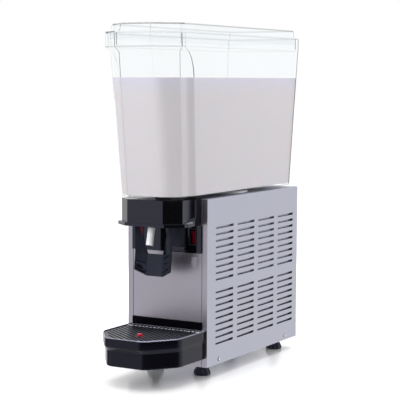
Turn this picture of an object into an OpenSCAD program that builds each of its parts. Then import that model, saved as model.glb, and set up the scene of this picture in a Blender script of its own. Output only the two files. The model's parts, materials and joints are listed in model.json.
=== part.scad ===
// Cold drink dispenser with one clear tank, a push lever tap and a cooled dome.
// Millimetres. The origin is on the floor, in the middle of the footprint.
// +X is the machine's left-to-right, +Y runs from the tap to the back, +Z is up.

/* [Cabinet] */
// Width of the steel cabinet
cab_w = 180; // [174:1:200]
// Depth of the steel cabinet
cab_d = 394; // [388:1:420]
// Height of the steel cabinet without its feet
cab_h = 327; // [324:1:340]
// Thickness of the sheet steel
sheet = 1.2; // [1:0.1:1.6]
// Width of the folded strip at each front edge
edge_w = 11; // [10:1:13]
// Height of the turned-up wall of the base
pan_h = 18; // [16:1:22]
// Height of the feet
foot_h = 25; // [22:1:32]
// Radius of a foot
foot_r = 17; // [14:0.5:19]
// Distance of the feet from the cabinet sides
foot_in = 36; // [30:1:40]
// Distance of the front feet behind the cabinet front
foot_front_y = 45; // [40:1:48]
// Distance of the rear feet from the cabinet back
foot_back = 36; // [32:1:38]
// Radius of the foot studs
stud_r = 4; // [3:0.5:5]
// Radius of the panel screws
screw_r = 2; // [1.5:0.25:2.5]
// Radius of the panel screw heads
screw_head_r = 4; // [3.5:0.25:5]

/* [Side slots] */
// Height of one slot
slot_h = 5; // [3:0.5:7]
// Gap between columns of slots
slot_gap = 18; // [14:1:30]
// Start of the first column behind the cabinet front
slot_first_y = 34; // [26:1:38]
// Distance of the last column from the cabinet back
slot_last = 22; // [18:1:34]
// Distance between rows of slots
slot_row_step = 12.66; // [11:0.02:13]
// Height of the lowest slot above the cabinet underside
slot_first_z = 42; // [32:1:48]

/* [Switch field] */
// Gap between the switch panel and the folded edges
switch_side = 0.5; // [0.5:0.5:4]
// Lower edge of the switch panel above the floor
switch_z0 = 247; // [240:1:250]
// Thickness of the switch panel
switch_panel_t = 4; // [3:0.5:5]
// Distance of the rockers from the ends of the switch panel
rocker_in = 18.5; // [16:0.5:20]
// Height of the rockers above the floor
rocker_z = 279; // [275:0.5:280]
// Width of a rocker
rocker_w = 11; // [9:0.5:12]
// Length of a rocker
rocker_len = 25; // [22:0.5:26]
// How far a rocker is tipped at rest, in degrees
rocker_tip = 8; // [4:1:9]
// Width of the raised blank
blank_w = 34; // [26:1:36]
// Height of the raised blank
blank_h = 38; // [30:1:40]
// How far the blank stands out
blank_t = 6; // [3:0.5:8]
// Height of the bare strip above the tray
strip_h = 15; // [10:0.5:18]
// How far the strip stands out
strip_t = 3; // [1.5:0.5:4]

/* [Tank] */
// How far the tank's floor stands inside the cabinet sides
tank_side = 14; // [13:0.5:16]
// How far the tank's rim stands inside the cabinet sides
rim_side = 4.5; // [3:0.5:6]
// Height of the tank below its rim
tank_body_h = 285; // [270:1:300]
// Height of the rim
rim_h = 27; // [22:1:32]
// How far the nose reaches out at the floor
nose_floor = 82.6; // [80:0.2:85]
// How far the nose reaches out just below the rim
nose_top = 116.8; // [112:0.2:119]
// How far the rim reaches out in front
rim_out = 128.5; // [126:0.5:131]
// Width of the nose's front face at the floor
face_floor_w = 78; // [72:1:80]
// Width of the nose's front face at the rim
face_top_w = 74; // [70:1:78]
// Depth of the grip recess at the nose's side corners
grip_in = 7.8; // [6:0.2:9]
// Length of the grip recess behind the side corners
grip_len = 38; // [32:1:42]
// How far the rear wall overhangs the cabinet at the rim
rear_lean = 12; // [11:0.5:16]
// Wall thickness of the tank
wall = 4; // [3:0.25:4.5]
// Height of the drink above the tank underside
drink_h = 229; // [210:1:240]
// Gap between cabinet top and tank
deck_gap = 4; // [3:0.5:6]
// How far the lid rises above the rim
lid_rise = 18; // [14:1:24]
// Wall thickness of the lid
lid_wall = 2.5; // [2:0.25:3]

/* [Tap] */
// Height of the cover's underside above the floor
cover_z0 = 302; // [301:0.5:304]
// Wall thickness of the cover
cover_wall = 3; // [2:0.25:3.5]
// Distance of the valve in front of the cabinet
tap_y = 17; // [16:0.5:18]
// Radius of the tap body
tap_r = 13; // [12.6:0.1:13.5]
// Radius of the tank's outlet tube
outlet_r = 11; // [10:0.1:11.2]
// Radius of the spout
spout_r = 7; // [6:0.25:7.5]
// Radius of the spout's bore
spout_bore_r = 5; // [4:0.25:5.5]
// Height of the spout's mouth above the floor
spout_z = 264.6; // [258:0.2:270]
// Height of the lever's lower edge above the floor
lever_z0 = 203.4; // [198:0.2:208]
// Half width of the lever's middle face
lever_mid_x = 17; // [14:0.5:18]
// Thickness of the lever
lever_t = 4.5; // [3.5:0.5:6]
// Radius of the lever pins
pin_r = 2.5; // [2:0.1:3]
// Radius of the valve stem
stem_r = 3; // [2.5:0.1:3.2]
// Radius of the valve spring's coil
spring_r = 5.6; // [5.2:0.1:6]
// Radius of the valve spring's wire
spring_wire_r = 0.55; // [0.4:0.05:0.7]
// Turns of the valve spring
spring_turns = 4; // [3:1:5]

/* [Drip tray] */
// How far the tray stands inside the cabinet sides
tray_side = 3.5; // [3:0.5:10]
// How far the tray reaches out
tray_out = 157.5; // [150:0.5:165]
// How far the tray's straight sides reach out
tray_shoulder = 98; // [88:1:102]
// Width of the tray's front face
tray_face_w = 84; // [70:1:90]
// Radius of the tray's front corners
tray_corner_r = 15; // [12:0.5:18]
// Radius of the tray's side corners
tray_side_r = 34; // [28:1:42]
// Height of the tray rim above the floor
tray_z1 = 97.5; // [92:0.5:98]
// Height of the tray underside above the floor
tray_z0 = 41; // [36:1:46]
// Height of the tray's upper band
tray_band_h = 18.5; // [12:0.5:24]
// How far the body is set in below the band, in front
tray_step = 8; // [6:0.5:9]
// Wall thickness of the tray
tray_wall = 2.5; // [2:0.25:3]
// Thickness of the grid
grid_t = 3; // [2:0.5:4]
// Distance between the grid's slats
slat_step = 9; // [7:0.5:12]
// Width of the grid's slits
slit_w = 4; // [3:0.5:5]
// Radius of the red marker
float_r = 5; // [4:0.25:6]

/* [Cooling] */
// Radius of the cooled dome
dome_r = 55; // [50:0.5:58]
// Height of the cooled dome
dome_h = 158; // [140:1:165]
// Distance of the dome's axis from the cabinet back
dome_back = 204; // [194:1:214]
// Radius of the drive shaft
shaft_r = 5; // [4:0.25:6]
// Radius of the mixer motor
mixer_r = 30; // [26:0.5:32]
// Radius of the compressor shell
comp_r = 52; // [46:0.5:56]
// Height of the compressor shell
comp_h = 140; // [120:1:150]
// Gap between the compressor and the cabinet back
comp_back = 42; // [38:1:44]
// Depth of the condenser
cond_d = 45; // [35:1:50]
// Distance between the condenser's fins
fin_step = 6; // [5:0.5:8]
// Gap between the fan's blades and the sides of the condenser
fan_side = 6.8; // [5:0.2:9]
// Radius of the cooling pipes
pipe_r = 3; // [2.5:0.25:3.5]
// Radius of the thermostat knob
knob_r = 14; // [11:0.5:16]

/* [Fits] */
// Radial clearance of turning and sliding pins
run_gap = 0.05; // [0.03:0.01:0.08]
// Clearance beside curved faces that only sit together
seat_gap = 0.3; // [0.25:0.05:0.4]

/* [Hidden] */
$fn = 48;
cab_x = cab_w / 2;
cab_z0 = foot_h;
cab_z1 = foot_h + cab_h;
in_x = cab_x - sheet;
pan_top = cab_z0 + sheet;
deck_under = cab_z1 - sheet;
front_x = cab_x - edge_w;
foot_x = cab_x - foot_in;
foot_rear_y = cab_d - foot_back;
slot_len = (cab_d - slot_first_y - slot_last - 3 * slot_gap) / 4;
slot_col_step = slot_len + slot_gap;
switch_x = front_x - switch_side;
rocker_x = switch_x - rocker_in;
tank_floor_w = cab_w - 2 * tank_side;
tank_rim_w = cab_w - 2 * rim_side;
tray_x = cab_x - tray_side;
dome_y = cab_d - dome_back;
comp_y = cab_d - comp_back - comp_r;
tank_z0 = cab_z1 + deck_gap;
rim_z0 = tank_z0 + tank_body_h;
rim_z1 = rim_z0 + rim_h;
nose_z1 = rim_z0 - 9;
arch_z0 = rim_z0 - 56;
rear_rim = cab_d + rear_lean;
rear_floor = cab_d - 8;
floor_top = tank_z0 + wall;
mid_y = (rear_rim - tray_out) / 2;
screw_t = 1.4;
screw_front_y = 48;
screw_rear_y = cab_d - 56;
screw_z = cab_z0 + 9.5;
rear_screw_x = cab_x - 30;
rear_slot_x = 36;
rear_slot_half = 27;
rear_slot_z = cab_z0 + 90;
switch_z1 = cover_z0 - 0.5;
rocker_axis_y = 11;
switch_half_w = rocker_w / 2 + 1.5;
switch_half_h = rocker_len / 2 + 2.6;
blank_x = rocker_x - 31;
blank_z = rocker_z - 2;
pivot_y = -tap_y - 18;
pivot_z = 312;
bar_y = -tap_y;
bar_z = pivot_z - 10;
bar_r = 3;
lever_tilt = 8.1;
lever_y0 = pivot_y - 14.9;
lever_mid_h = 43;
wing_turn = 25;
wing_len = 24.9;
wing_chamfer = 10.3;
arm_y = lever_y0 + lever_mid_h * sin(lever_tilt);
arm_z = lever_z0 + lever_mid_h * cos(lever_tilt);
arm_h = pivot_z + 4 - arm_z;
arm_w = 8;
eye_x0 = 32.5;
eye_x1 = lever_mid_x + wing_len * cos(wing_turn) + lever_t * sin(wing_turn) + 0.4;
ear_x = 30;
ear_t = 1.5;
tap_z0 = 313;
tap_z1 = cab_z1 - 2;
seat_z = tap_z0 + 23;
port_z = seat_z - 4;
chamber_z = tap_z0 + 3;
chamber_r = tap_r - 3.5;
stem_z0 = bar_z + bar_r + 0.3;
collar_z = chamber_z + 1;
plug_r = outlet_r - 3.2;
spout_mid_y = -57.5;
spout_mid_z = 301;
spout_end_y = -65.6;
tap_mid_z = tap_z0 + 9;
fall_y = -spout_mid_y - tap_y;
fall_z = tap_mid_z - spout_mid_z;
fall_len = sqrt(fall_y * fall_y + fall_z * fall_z);
fall_turn = 90 + atan2(fall_z, fall_y);
drop_y = spout_mid_y - spout_end_y;
drop_z = spout_mid_z - spout_z;
drop_len = sqrt(drop_y * drop_y + drop_z * drop_z);
drop_turn = 90 + atan2(drop_z, drop_y);
tray_slant = tray_step * 0.55;
tray_flank = tray_step * 0.2;
tray_back = -0.4;
tray_pin_x = tray_x - 36.5;
tray_pin_z = tray_z0 + 25;
tray_pin_r = 4;
tray_pin_len = 9;
ledge_z = tray_z1 - grid_t - 2;
basin_z = tray_z0 + 4;
float_y = -100;
dome_z1 = cab_z1 + dome_h;
boss_r = 16;
boss_z = deck_under - 16;
stir_z = dome_z1 + 3;
stir_h = 32;
stir_r = dome_r - 5;
mixer_z1 = boss_z - 10;
mixer_h = 55;
brk_x = mixer_r + 15;
comp_foot_z = pan_top + 18;
comp_foot_x = comp_r + 10;
comp_foot_y = comp_r - 4;
mount_x = comp_r;
mount_y = comp_r - 16;
mount_r = 8;
mount_pin_r = 4.5;
comp_z0 = comp_foot_z + 3;
comp_z1 = comp_z0 + comp_h;
cond_x = in_x - 26;
cond_y0 = 40;
cond_y1 = cond_y0 + cond_d;
cond_z0 = pan_top + 10;
low_z = comp_z0 + 19;
shroud_z0 = low_z + pipe_r + 3;
fan_r = cond_x - fan_side;
fan_z = shroud_z0 + fan_r + 8;
cond_z1 = fan_z + fan_r + 8;
cond_h = cond_z1 - cond_z0;
bend_r = 3 * pipe_r;
bend_step = (cond_h - 52) / 4;
shroud_y1 = cond_y1 + 10;
fan_y0 = shroud_y1 + 4;
fan_y1 = fan_y0 + 12;
fan_motor_y0 = fan_y1 + 3;
fan_motor_r = 20;
fan_motor_len = 26;
suction_x = 25;
suction_y = dome_y + 25;
suction_z = comp_z0 + comp_h * 0.7;
suction_end = comp_y - sqrt(comp_r * comp_r - pow(suction_x - 4, 2)) - 0.4;
drier_x = -25;
drier_y = dome_y + 34;
drier_r = 9;
drier_z0 = comp_z0 + comp_h * 0.95;
drier_len = 84;
drier_taper = 8;
elbow_r = 4 * pipe_r;
discharge_x = 30;
discharge_end = comp_y - sqrt(comp_r * comp_r - pow(discharge_x - pipe_r, 2)) - seat_gap;
knob_x = cab_x - 40;
knob_z = cab_z1 - 50;
gland_x = 40 - cab_x;
block_x = 20 - foot_x;
block_w = 32;
gland_z = cab_z0 + 45;
gland_r = 8;

// Shapes that several pieces share

function mix(a, b, t) = a + (b - a) * t;

// Y is counted from the cabinet front while a piece is drawn.
module placed() {
  translate([0, -mid_y, 0])
    children();
}

module block(x0, x1, y0, y1, z0, z1) {
  translate([x0, y0, z0])
    cube([x1 - x0, y1 - y0, z1 - z0]);
}

module rod_x(x0, x1, y, z, r) {
  translate([x0, y, z])
    rotate([0, 90, 0])
      cylinder(h = x1 - x0, r = r);
}

module rod_y(x, y0, y1, z, r) {
  translate([x, y1, z])
    rotate([90, 0, 0])
      cylinder(h = y1 - y0, r = r);
}

module rod_z(x, y, z0, z1, r) {
  translate([x, y, z0])
    cylinder(h = z1 - z0, r = r);
}

module mirrored() {
  children();
  mirror([1, 0, 0])
    children();
}

// Outline of one half, from the front crease to the rear corner. The grip is 1 where it is full.
function half_outline(cx, cy, sx, sy, b, ry, grip) =
  let (
    g = max(grip, 0.2),
    mx = grip > 0 ? mix(sx, b, 0.72 * grip) : b
  )
  [[cx, cy], [sx, sy], [mx, sy + 0.72 * grip_len * g], [b, sy + grip_len * g], [b, ry]];

function both_halves(h) =
  concat(h, [for (i = [len(h) - 1 : -1 : 0]) [-h[i][0], h[i][1]]]);

function inset(p, d) = [
  for (i = [0 : len(p) - 1])
    let (
      a = p[(i + len(p) - 1) % len(p)],
      b = p[i],
      c = p[(i + 1) % len(p)],
      e = (b - a) / norm(b - a),
      f = (c - b) / norm(c - b),
      n = [-e[1], e[0]],
      m = [-f[1], f[0]]
    )
    b + d * (n + m) / (1 + n * m)
];

function rise(z) = (z - tank_z0) / (nose_z1 - tank_z0);

function grip_at(z) =
  z <= arch_z0 ? 1 : sqrt(max(0, 1 - pow((z - arch_z0) / (rim_z0 - arch_z0), 2)));

function nose_outline(z) =
  let (
    u = rise(z),
    b = mix(tank_floor_w, tank_rim_w - 1, u) / 2
  )
  both_halves(half_outline(
    mix(face_floor_w, face_top_w - 2, u) / 2,
    -mix(nose_floor, nose_top, u),
    b - grip_in,
    -mix(nose_floor - 25.1, nose_top - 33.1, u),
    b,
    mix(rear_floor, rear_rim - 2, u),
    grip_at(z)
  ));

function rim_outline(z) =
  let (u = (z - rim_z0) / rim_h)
  both_halves(half_outline(
    face_top_w / 2 + 2,
    -rim_out - 1.5 * u + 1,
    tank_rim_w / 2 - 0.4,
    -rim_out + 39.5 - 1.5 * u,
    tank_rim_w / 2,
    rear_rim - 1 + u,
    0
  ));

function tank_outline(z) = z >= rim_z0 ? rim_outline(z) : nose_outline(z);

function cover_outline(grip, out, depth) =
  both_halves(half_outline(
    face_floor_w / 2 + 0.6 + out,
    -nose_floor + 0.2 - 0.6 * out,
    tank_floor_w / 2 - grip_in + 1.5 * out,
    -nose_floor + 25.1 - 0.7 * out,
    tank_floor_w / 2,
    depth,
    grip
  ));

// A body through a list of [height, outline] levels.
module loft(levels) {
  n = len(levels[0][1]);
  m = len(levels);
  points = [for (l = levels) for (p = l[1]) [p[0], p[1], l[0]]];
  floor_face = [[for (i = [0 : n - 1]) i]];
  top_face = [[for (i = [n - 1 : -1 : 0]) (m - 1) * n + i]];
  sides = [
    for (k = [0 : m - 2])
      for (i = [0 : n - 1])
        for (t = [0, 1])
          let (
            a = k * n + i,
            b = a + n,
            d = k * n + (i + 1) % n,
            c = d + n
          )
          t == 0 ? [a, b, c] : [a, c, d]
  ];
  polyhedron(points = points, faces = concat(floor_face, sides, top_face));
}

// Right front and side corners of the tray, set in by df in front, dk at the slants, ds at the sides.
function tray_corners(df, dk, ds) =
  let (
    run = [tray_x - tray_face_w / 2, tray_out - tray_shoulder],
    e = run / norm(run),
    p = [tray_face_w / 2, -tray_out] + dk * [-e[1], e[0]],
    y = df - tray_out,
    x = tray_x - ds
  )
  [
    [p[0] + (y - p[1]) * e[0] / e[1], y],
    [x, p[1] + (x - p[0]) * e[1] / e[0]]
  ];

// A rounding of corner v between a and b: its two ends and its middle.
function rounding(v, a, b, r) =
  let (
    p = (a - v) / norm(a - v),
    q = (b - v) / norm(b - v),
    half = acos(p * q) / 2
  )
  [v + p * r / tan(half), v + q * r / tan(half), v + (p + q) / norm(p + q) * r / sin(half)];

// The tray's outline as a solid, with its back at y.
module tray_shape(df, dk, ds, y, z0, z1) {
  c = tray_corners(df, dk, ds);
  rf = tray_corner_r - dk;
  rs = tray_side_r - dk;
  f = rounding(c[0], [-c[0][0], c[0][1]], c[1], rf);
  s = rounding(c[1], c[0], [c[1][0], y], rs);
  translate([0, 0, z0])
    linear_extrude(height = z1 - z0)
      polygon(both_halves([f[0], f[1], s[0], s[1], [c[1][0], y]]));
  mirrored() {
    translate([f[2][0], f[2][1], z0])
      cylinder(h = z1 - z0, r = rf, $fn = 96);
    translate([s[2][0], s[2][1], z0])
      cylinder(h = z1 - z0, r = rs, $fn = 96);
  }
}

// Cabinet

module base_pan() {
  color([0.7, 0.71, 0.73])
    placed()
      difference() {
        block(-in_x, in_x, 2 * sheet, cab_d - sheet, cab_z0, cab_z0 + pan_h);
        block(-in_x + sheet, in_x - sheet, 3 * sheet, cab_d - 2 * sheet, pan_top, cab_z1);
        mirrored() {
          rod_z(foot_x, foot_front_y, cab_z0 - 1, pan_top + 1, stud_r + run_gap);
          rod_z(foot_x, foot_rear_y, cab_z0 - 1, pan_top + 1, stud_r + run_gap);
          rod_x(in_x - sheet - 1, in_x + 1, screw_front_y, screw_z, screw_r + run_gap);
          rod_x(in_x - sheet - 1, in_x + 1, screw_rear_y, screw_z, screw_r + run_gap);
          rod_y(rear_screw_x, cab_d - 3 * sheet, cab_d, screw_z, screw_r + run_gap);
        }
      }
}

module foot(y) {
  difference() {
    union() {
      rod_z(foot_x, y, 0, foot_h * 0.4, foot_r);
      translate([foot_x, y, foot_h * 0.4])
        cylinder(h = foot_h * 0.4, r1 = foot_r - 2.5, r2 = foot_r * 0.4);
      rod_z(foot_x, y, foot_h - 6, foot_h, foot_r * 0.4);
    }
    for (a = [0 : 45 : 315])
      translate([foot_x, y, 4])
        rotate([0, 0, a + 22.5])
          translate([foot_r + 3, 0, 0])
            cylinder(h = foot_h, r = 5, $fn = 24);
    rod_z(foot_x, y, 6, foot_h + 1, stud_r + run_gap);
  }
}

module feet() {
  color([0.05, 0.05, 0.055])
    placed()
      mirrored() {
        foot(foot_front_y);
        foot(foot_rear_y);
      }
}

module foot_stud(y) {
  rod_z(foot_x, y, 6, pan_top + 8, stud_r);
  translate([foot_x, y, pan_top])
    cylinder(h = 6, r = stud_r * 1.85, $fn = 6);
}

module foot_studs() {
  color([0.75, 0.75, 0.76])
    placed()
      mirrored() {
        foot_stud(foot_front_y);
        foot_stud(foot_rear_y);
      }
}

module front_panel() {
  color([0.72, 0.72, 0.75])
    placed()
      difference() {
        union() {
          block(-front_x, front_x, 0, sheet, cab_z0, cab_z1);
          block(-in_x, in_x, sheet, 2 * sheet, cab_z0, cab_z1);
        }
        mirrored() {
          block(
            rocker_x - switch_half_w - 2.5, rocker_x + switch_half_w + 2.5, -1, 3 * sheet,
            rocker_z - switch_half_h - 1, rocker_z + switch_half_h + 1
          );
          rod_y(tray_pin_x, -1, 3 * sheet, tray_pin_z, tray_pin_r + run_gap);
        }
      }
}

module side_panel() {
  difference() {
    union() {
      block(in_x, cab_x, 0, cab_d, cab_z0, cab_z1);
      block(front_x, cab_x, 0, sheet, cab_z0, cab_z1);
    }
    for (c = [0 : 3])
      for (r = [0 : 18])
        if (r != 9)
          translate([in_x - 1, slot_first_y + c * slot_col_step, cab_z0 + slot_first_z + r * slot_row_step])
            translate([0, 0, -slot_h / 2])
              cube([sheet + 2, slot_len, slot_h]);
    rod_x(in_x - 1, cab_x + 1, screw_front_y, screw_z, screw_r + run_gap);
    rod_x(in_x - 1, cab_x + 1, screw_rear_y, screw_z, screw_r + run_gap);
  }
}

module right_side_panel() {
  color([0.74, 0.75, 0.78])
    placed()
      side_panel();
}

module left_side_panel() {
  color([0.74, 0.75, 0.78])
    placed()
      mirror([1, 0, 0])
        side_panel();
}

module rear_panel() {
  color([0.72, 0.72, 0.75])
    placed()
      difference() {
        block(-in_x, in_x, cab_d - sheet, cab_d, cab_z0, cab_z1);
        for (c = [-1, 1])
          for (r = [0 : 10])
            block(
              c * rear_slot_x - rear_slot_half, c * rear_slot_x + rear_slot_half, cab_d - 3, cab_d + 1,
              rear_slot_z + r * slot_row_step, rear_slot_z + slot_h + r * slot_row_step
            );
        rod_y(knob_x, cab_d - 3, cab_d + 1, knob_z, 5 + run_gap);
        rod_y(gland_x, cab_d - 3, cab_d + 1, gland_z, gland_r + run_gap);
        mirrored()
          rod_y(rear_screw_x, cab_d - 3, cab_d + 1, screw_z, screw_r + run_gap);
      }
}

module top_deck() {
  color([0.7, 0.71, 0.73])
    placed()
      difference() {
        union() {
          block(-in_x, in_x, 2 * sheet, cab_d - sheet, deck_under, cab_z1);
          mirrored()
            block(in_x - sheet, in_x, 2 * sheet, cab_d - sheet, deck_under - 12, cab_z1);
        }
        rod_z(0, dome_y, deck_under - 1, cab_z1 + 1, boss_r + run_gap);
        rod_z(suction_x, suction_y, deck_under - 1, cab_z1 + 1, pipe_r + run_gap);
        rod_z(drier_x, drier_y, deck_under - 1, cab_z1 + 1, pipe_r + run_gap);
      }
}

module side_screw(y) {
  rod_x(in_x - sheet - 4, cab_x + 0.2, y, screw_z, screw_r);
  rod_x(cab_x, cab_x + screw_t, y, screw_z, screw_head_r);
}

module panel_screws() {
  color([0.7, 0.7, 0.72])
    placed()
      mirrored() {
        side_screw(screw_front_y);
        side_screw(screw_rear_y);
        rod_y(rear_screw_x, cab_d - 2 * sheet - 4, cab_d + 0.2, screw_z, screw_r);
        rod_y(rear_screw_x, cab_d, cab_d + screw_t, screw_z, screw_head_r);
      }
}

module notice_plate() {
  color([0.86, 0.86, 0.87])
    placed()
      block(rocker_x - 5, rocker_x + 7, -0.6, 0, switch_z0 - 29, switch_z0 - 8);
}

module label_strip() {
  color([0.04, 0.04, 0.045])
    placed()
      block(-front_x, front_x, -strip_t, 0, tray_z1 + 0.5, tray_z1 + 0.5 + strip_h);
}

// Switch field

module switch_panel() {
  color([0.03, 0.03, 0.033])
    placed()
      difference() {
        block(-switch_x, switch_x, -switch_panel_t, 0, switch_z0, switch_z1);
        mirrored()
          block(
            rocker_x - switch_half_w, rocker_x + switch_half_w, -switch_panel_t - 1, 1,
            rocker_z - switch_half_h, rocker_z + switch_half_h
          );
      }
}

module switch_body() {
  w = switch_half_w;
  h = switch_half_h;
  difference() {
    union() {
      block(rocker_x - w, rocker_x + w, -switch_panel_t, rocker_axis_y + 20, rocker_z - h, rocker_z + h);
      block(
        rocker_x - w - 1.5, rocker_x + w + 1.5, -switch_panel_t - 1.2, -switch_panel_t,
        rocker_z - h - 1.5, rocker_z + h + 1.5
      );
    }
    block(
      rocker_x - rocker_w / 2 - 0.4, rocker_x + rocker_w / 2 + 0.4, -switch_panel_t - 3, rocker_axis_y + 8,
      rocker_z - h + 0.8, rocker_z + h - 0.8
    );
    rod_x(rocker_x - w - 1, rocker_x + w + 1, rocker_axis_y, rocker_z, 1.5 + run_gap);
  }
}

module switch_bodies() {
  color([0.04, 0.04, 0.045])
    placed()
      mirrored()
        switch_body();
}

module rocker() {
  h = rocker_len / 2;
  translate([rocker_x, rocker_axis_y, rocker_z])
    rotate([rocker_tip, 0, 0]) {
      rotate([90, 0, 90])
        translate([0, 0, -rocker_w / 2])
          linear_extrude(height = rocker_w)
            polygon([
              [-10, -h], [-10.6, -h + 3], [-8.2, 0], [-10.6, h - 3], [-10, h],
              [1, h - 2], [4, 0], [1, -h + 2]
            ]);
      rod_x(-rocker_w / 2 - 1.3, rocker_w / 2 + 1.3, 0, 0, 1.5);
    }
}

module right_rocker() {
  color([0.45, 0.02, 0.06])
    placed()
      rocker();
}

module left_rocker() {
  color([0.45, 0.02, 0.06])
    placed()
      mirror([1, 0, 0])
        rocker();
}

module blank_plate() {
  color([0.09, 0.09, 0.1])
    placed()
      block(
        blank_x - blank_w / 2, blank_x + blank_w / 2, -switch_panel_t - blank_t, -switch_panel_t,
        blank_z - blank_h / 2, blank_z + blank_h / 2
      );
}

// Tap

module front_cover() {
  arch_top = cover_z0 + 18;
  function arch(z) = sqrt(max(0, 1 - pow((arch_top - z) / 15, 2)));
  color([0.03, 0.03, 0.033])
    placed()
      difference() {
        loft([
          [cover_z0, cover_outline(0, 4.4, 0)],
          [cover_z0 + 4, cover_outline(0, 4.2, 0)],
          [cover_z0 + 7, cover_outline(arch(cover_z0 + 7), 0, 0)],
          [cover_z0 + 10, cover_outline(arch(cover_z0 + 10), 0, 0)],
          [cover_z0 + 14, cover_outline(arch(cover_z0 + 14), 0, 0)],
          [arch_top, cover_outline(1, 0, 0)],
          [cab_z1 + 1, cover_outline(1, 0, 0)]
        ]);
        loft([
          [cover_z0 - 1, inset(cover_outline(1, 0, 10), cover_wall)],
          [cab_z1 - cover_wall, inset(cover_outline(1, 0, 10), cover_wall)]
        ]);
        rod_z(0, -tap_y, cab_z1 - 5, cab_z1 + 5, 16);
      }
}

module ear() {
  difference() {
    union() {
      rotate([90, 0, 90])
        translate([0, 0, ear_x - ear_t])
          linear_extrude(height = ear_t)
            polygon([
              [0, pivot_z + 4], [pivot_y + 11, pivot_z + 4], [pivot_y + 6, pivot_z - 6],
              [pivot_y - 6, pivot_z - 6], [pivot_y - 6, pivot_z + 6], [pivot_y + 6, pivot_z + 11],
              [0, pivot_z + 15]
            ]);
      block(tap_r + 6.5, ear_x, -ear_t, 0, pivot_z + 4, pivot_z + 15);
    }
    rod_x(ear_x - 5, ear_x + 5, pivot_y, pivot_z, pin_r + run_gap);
  }
}

module lever_bracket() {
  color([0.7, 0.7, 0.72])
    placed()
      mirrored()
        ear();
}

module lever_pins() {
  color([0.75, 0.75, 0.76])
    placed()
      mirrored() {
        rod_x(ear_x - ear_t - 2, eye_x1 + 1, pivot_y, pivot_z, pin_r);
        rod_x(eye_x1 + 0.4, eye_x1 + 2, pivot_y, pivot_z, pin_r + 1.7);
      }
}

// A flat plate turned forward beside the lever's middle face.
module lever_plate(points) {
  translate([lever_mid_x, 0, 0])
    rotate([0, 0, -wing_turn])
      translate([0, lever_t, 0])
        rotate([90, 0, 0])
          linear_extrude(height = lever_t)
            polygon(points);
}

module tap_lever() {
  color([0.035, 0.035, 0.04])
    placed()
      difference() {
        union() {
          translate([0, lever_y0, lever_z0])
            rotate([-lever_tilt, 0, 0]) {
              block(-lever_mid_x, lever_mid_x, 0, lever_t, 0, lever_mid_h);
              mirrored()
                lever_plate([
                  [-2, 0.4], [0, 0.4], [wing_len, wing_chamfer],
                  [wing_len, lever_mid_h - 0.6], [-2, lever_mid_h - 0.6]
                ]);
            }
          mirrored() {
            translate([0, arm_y, arm_z])
              lever_plate([
                [0, -4], [wing_len - 0.1, -4], [wing_len - 0.1, arm_h], [wing_len - arm_w, arm_h],
                [wing_len - arm_w, arm_h - 18], [0, 0]
              ]);
            block(eye_x0 + 0.6, eye_x1 - 3, lever_y0, pivot_y, pivot_z - 4, pivot_z + 3.5);
            rod_x(eye_x0, eye_x1, pivot_y, pivot_z, 6.5);
            rod_x(eye_x0 + 0.6, eye_x0 + 6, bar_y, bar_z, 4);
            rotate([90, 0, 90])
              translate([0, 0, eye_x0 + 0.6])
                linear_extrude(height = 5.4)
                  polygon([
                    [pivot_y - 2, pivot_z - 4], [bar_y - 2, bar_z - 3],
                    [bar_y + 2, bar_z + 3], [pivot_y + 2, pivot_z + 5]
                  ]);
          }
          rod_x(-eye_x0 - 3, eye_x0 + 3, bar_y, bar_z, bar_r);
        }
        mirrored()
          rod_x(eye_x0 - 4, eye_x1 + 4, pivot_y, pivot_z, pin_r + run_gap);
      }
}

module tap_body() {
  color([0.85, 0.85, 0.86])
    placed()
      difference() {
        union() {
          rod_z(0, -tap_y, tap_z0, tap_z1, tap_r);
          block(-8, 8, -tap_y, 0, tap_z0 + 6, tap_z1 - 4);
          block(-tap_r - 5, tap_r + 5, -2, 0, tap_z0 + 6, tap_z1 - 4);
          translate([0, -tap_y, tap_mid_z])
            rotate([fall_turn, 0, 0])
              cylinder(h = 24, r = spout_r + 2);
        }
        rod_z(0, -tap_y, seat_z, tap_z1 + 1, outlet_r + run_gap);
        rod_z(0, -tap_y, chamber_z, port_z, chamber_r);
        rod_z(0, -tap_y, port_z - 1, seat_z + 1, stem_r + 2.5);
        rod_z(0, -tap_y, tap_z0 - 8, chamber_z + 1, stem_r + run_gap);
        translate([0, -tap_y, tap_mid_z])
          rotate([fall_turn, 0, 0]) {
            cylinder(h = 30, r = spout_bore_r);
            translate([0, 0, 15])
              cylinder(h = 15, r = spout_r + run_gap);
          }
      }
}

module spout() {
  color([0.92, 0.92, 0.93])
    placed()
      difference() {
        union() {
          translate([0, -tap_y, tap_mid_z])
            rotate([fall_turn, 0, 0])
              translate([0, 0, 15])
                cylinder(h = fall_len - 15, r = spout_r);
          translate([0, spout_mid_y, spout_mid_z]) {
            sphere(r = spout_r + 0.4);
            rotate([drop_turn, 0, 0])
              cylinder(h = drop_len, r = spout_r);
          }
        }
        translate([0, -tap_y, tap_mid_z])
          rotate([fall_turn, 0, 0])
            cylinder(h = fall_len, r = spout_bore_r);
        translate([0, spout_mid_y, spout_mid_z]) {
          sphere(r = spout_bore_r + 0.3);
          rotate([drop_turn, 0, 0])
            cylinder(h = drop_len + 1, r = spout_bore_r);
        }
      }
}

module valve_stem() {
  color([0.75, 0.75, 0.76])
    placed() {
      rod_z(0, -tap_y, stem_z0, seat_z + 8, stem_r);
      rod_z(0, -tap_y, collar_z, collar_z + 2, stem_r + 3.6);
    }
}

module valve_plug() {
  color([0.1, 0.1, 0.1])
    placed()
      difference() {
        rod_z(0, -tap_y, seat_z, seat_z + 4, plug_r);
        rod_z(0, -tap_y, seat_z - 1, seat_z + 5, stem_r + run_gap);
      }
}

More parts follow.
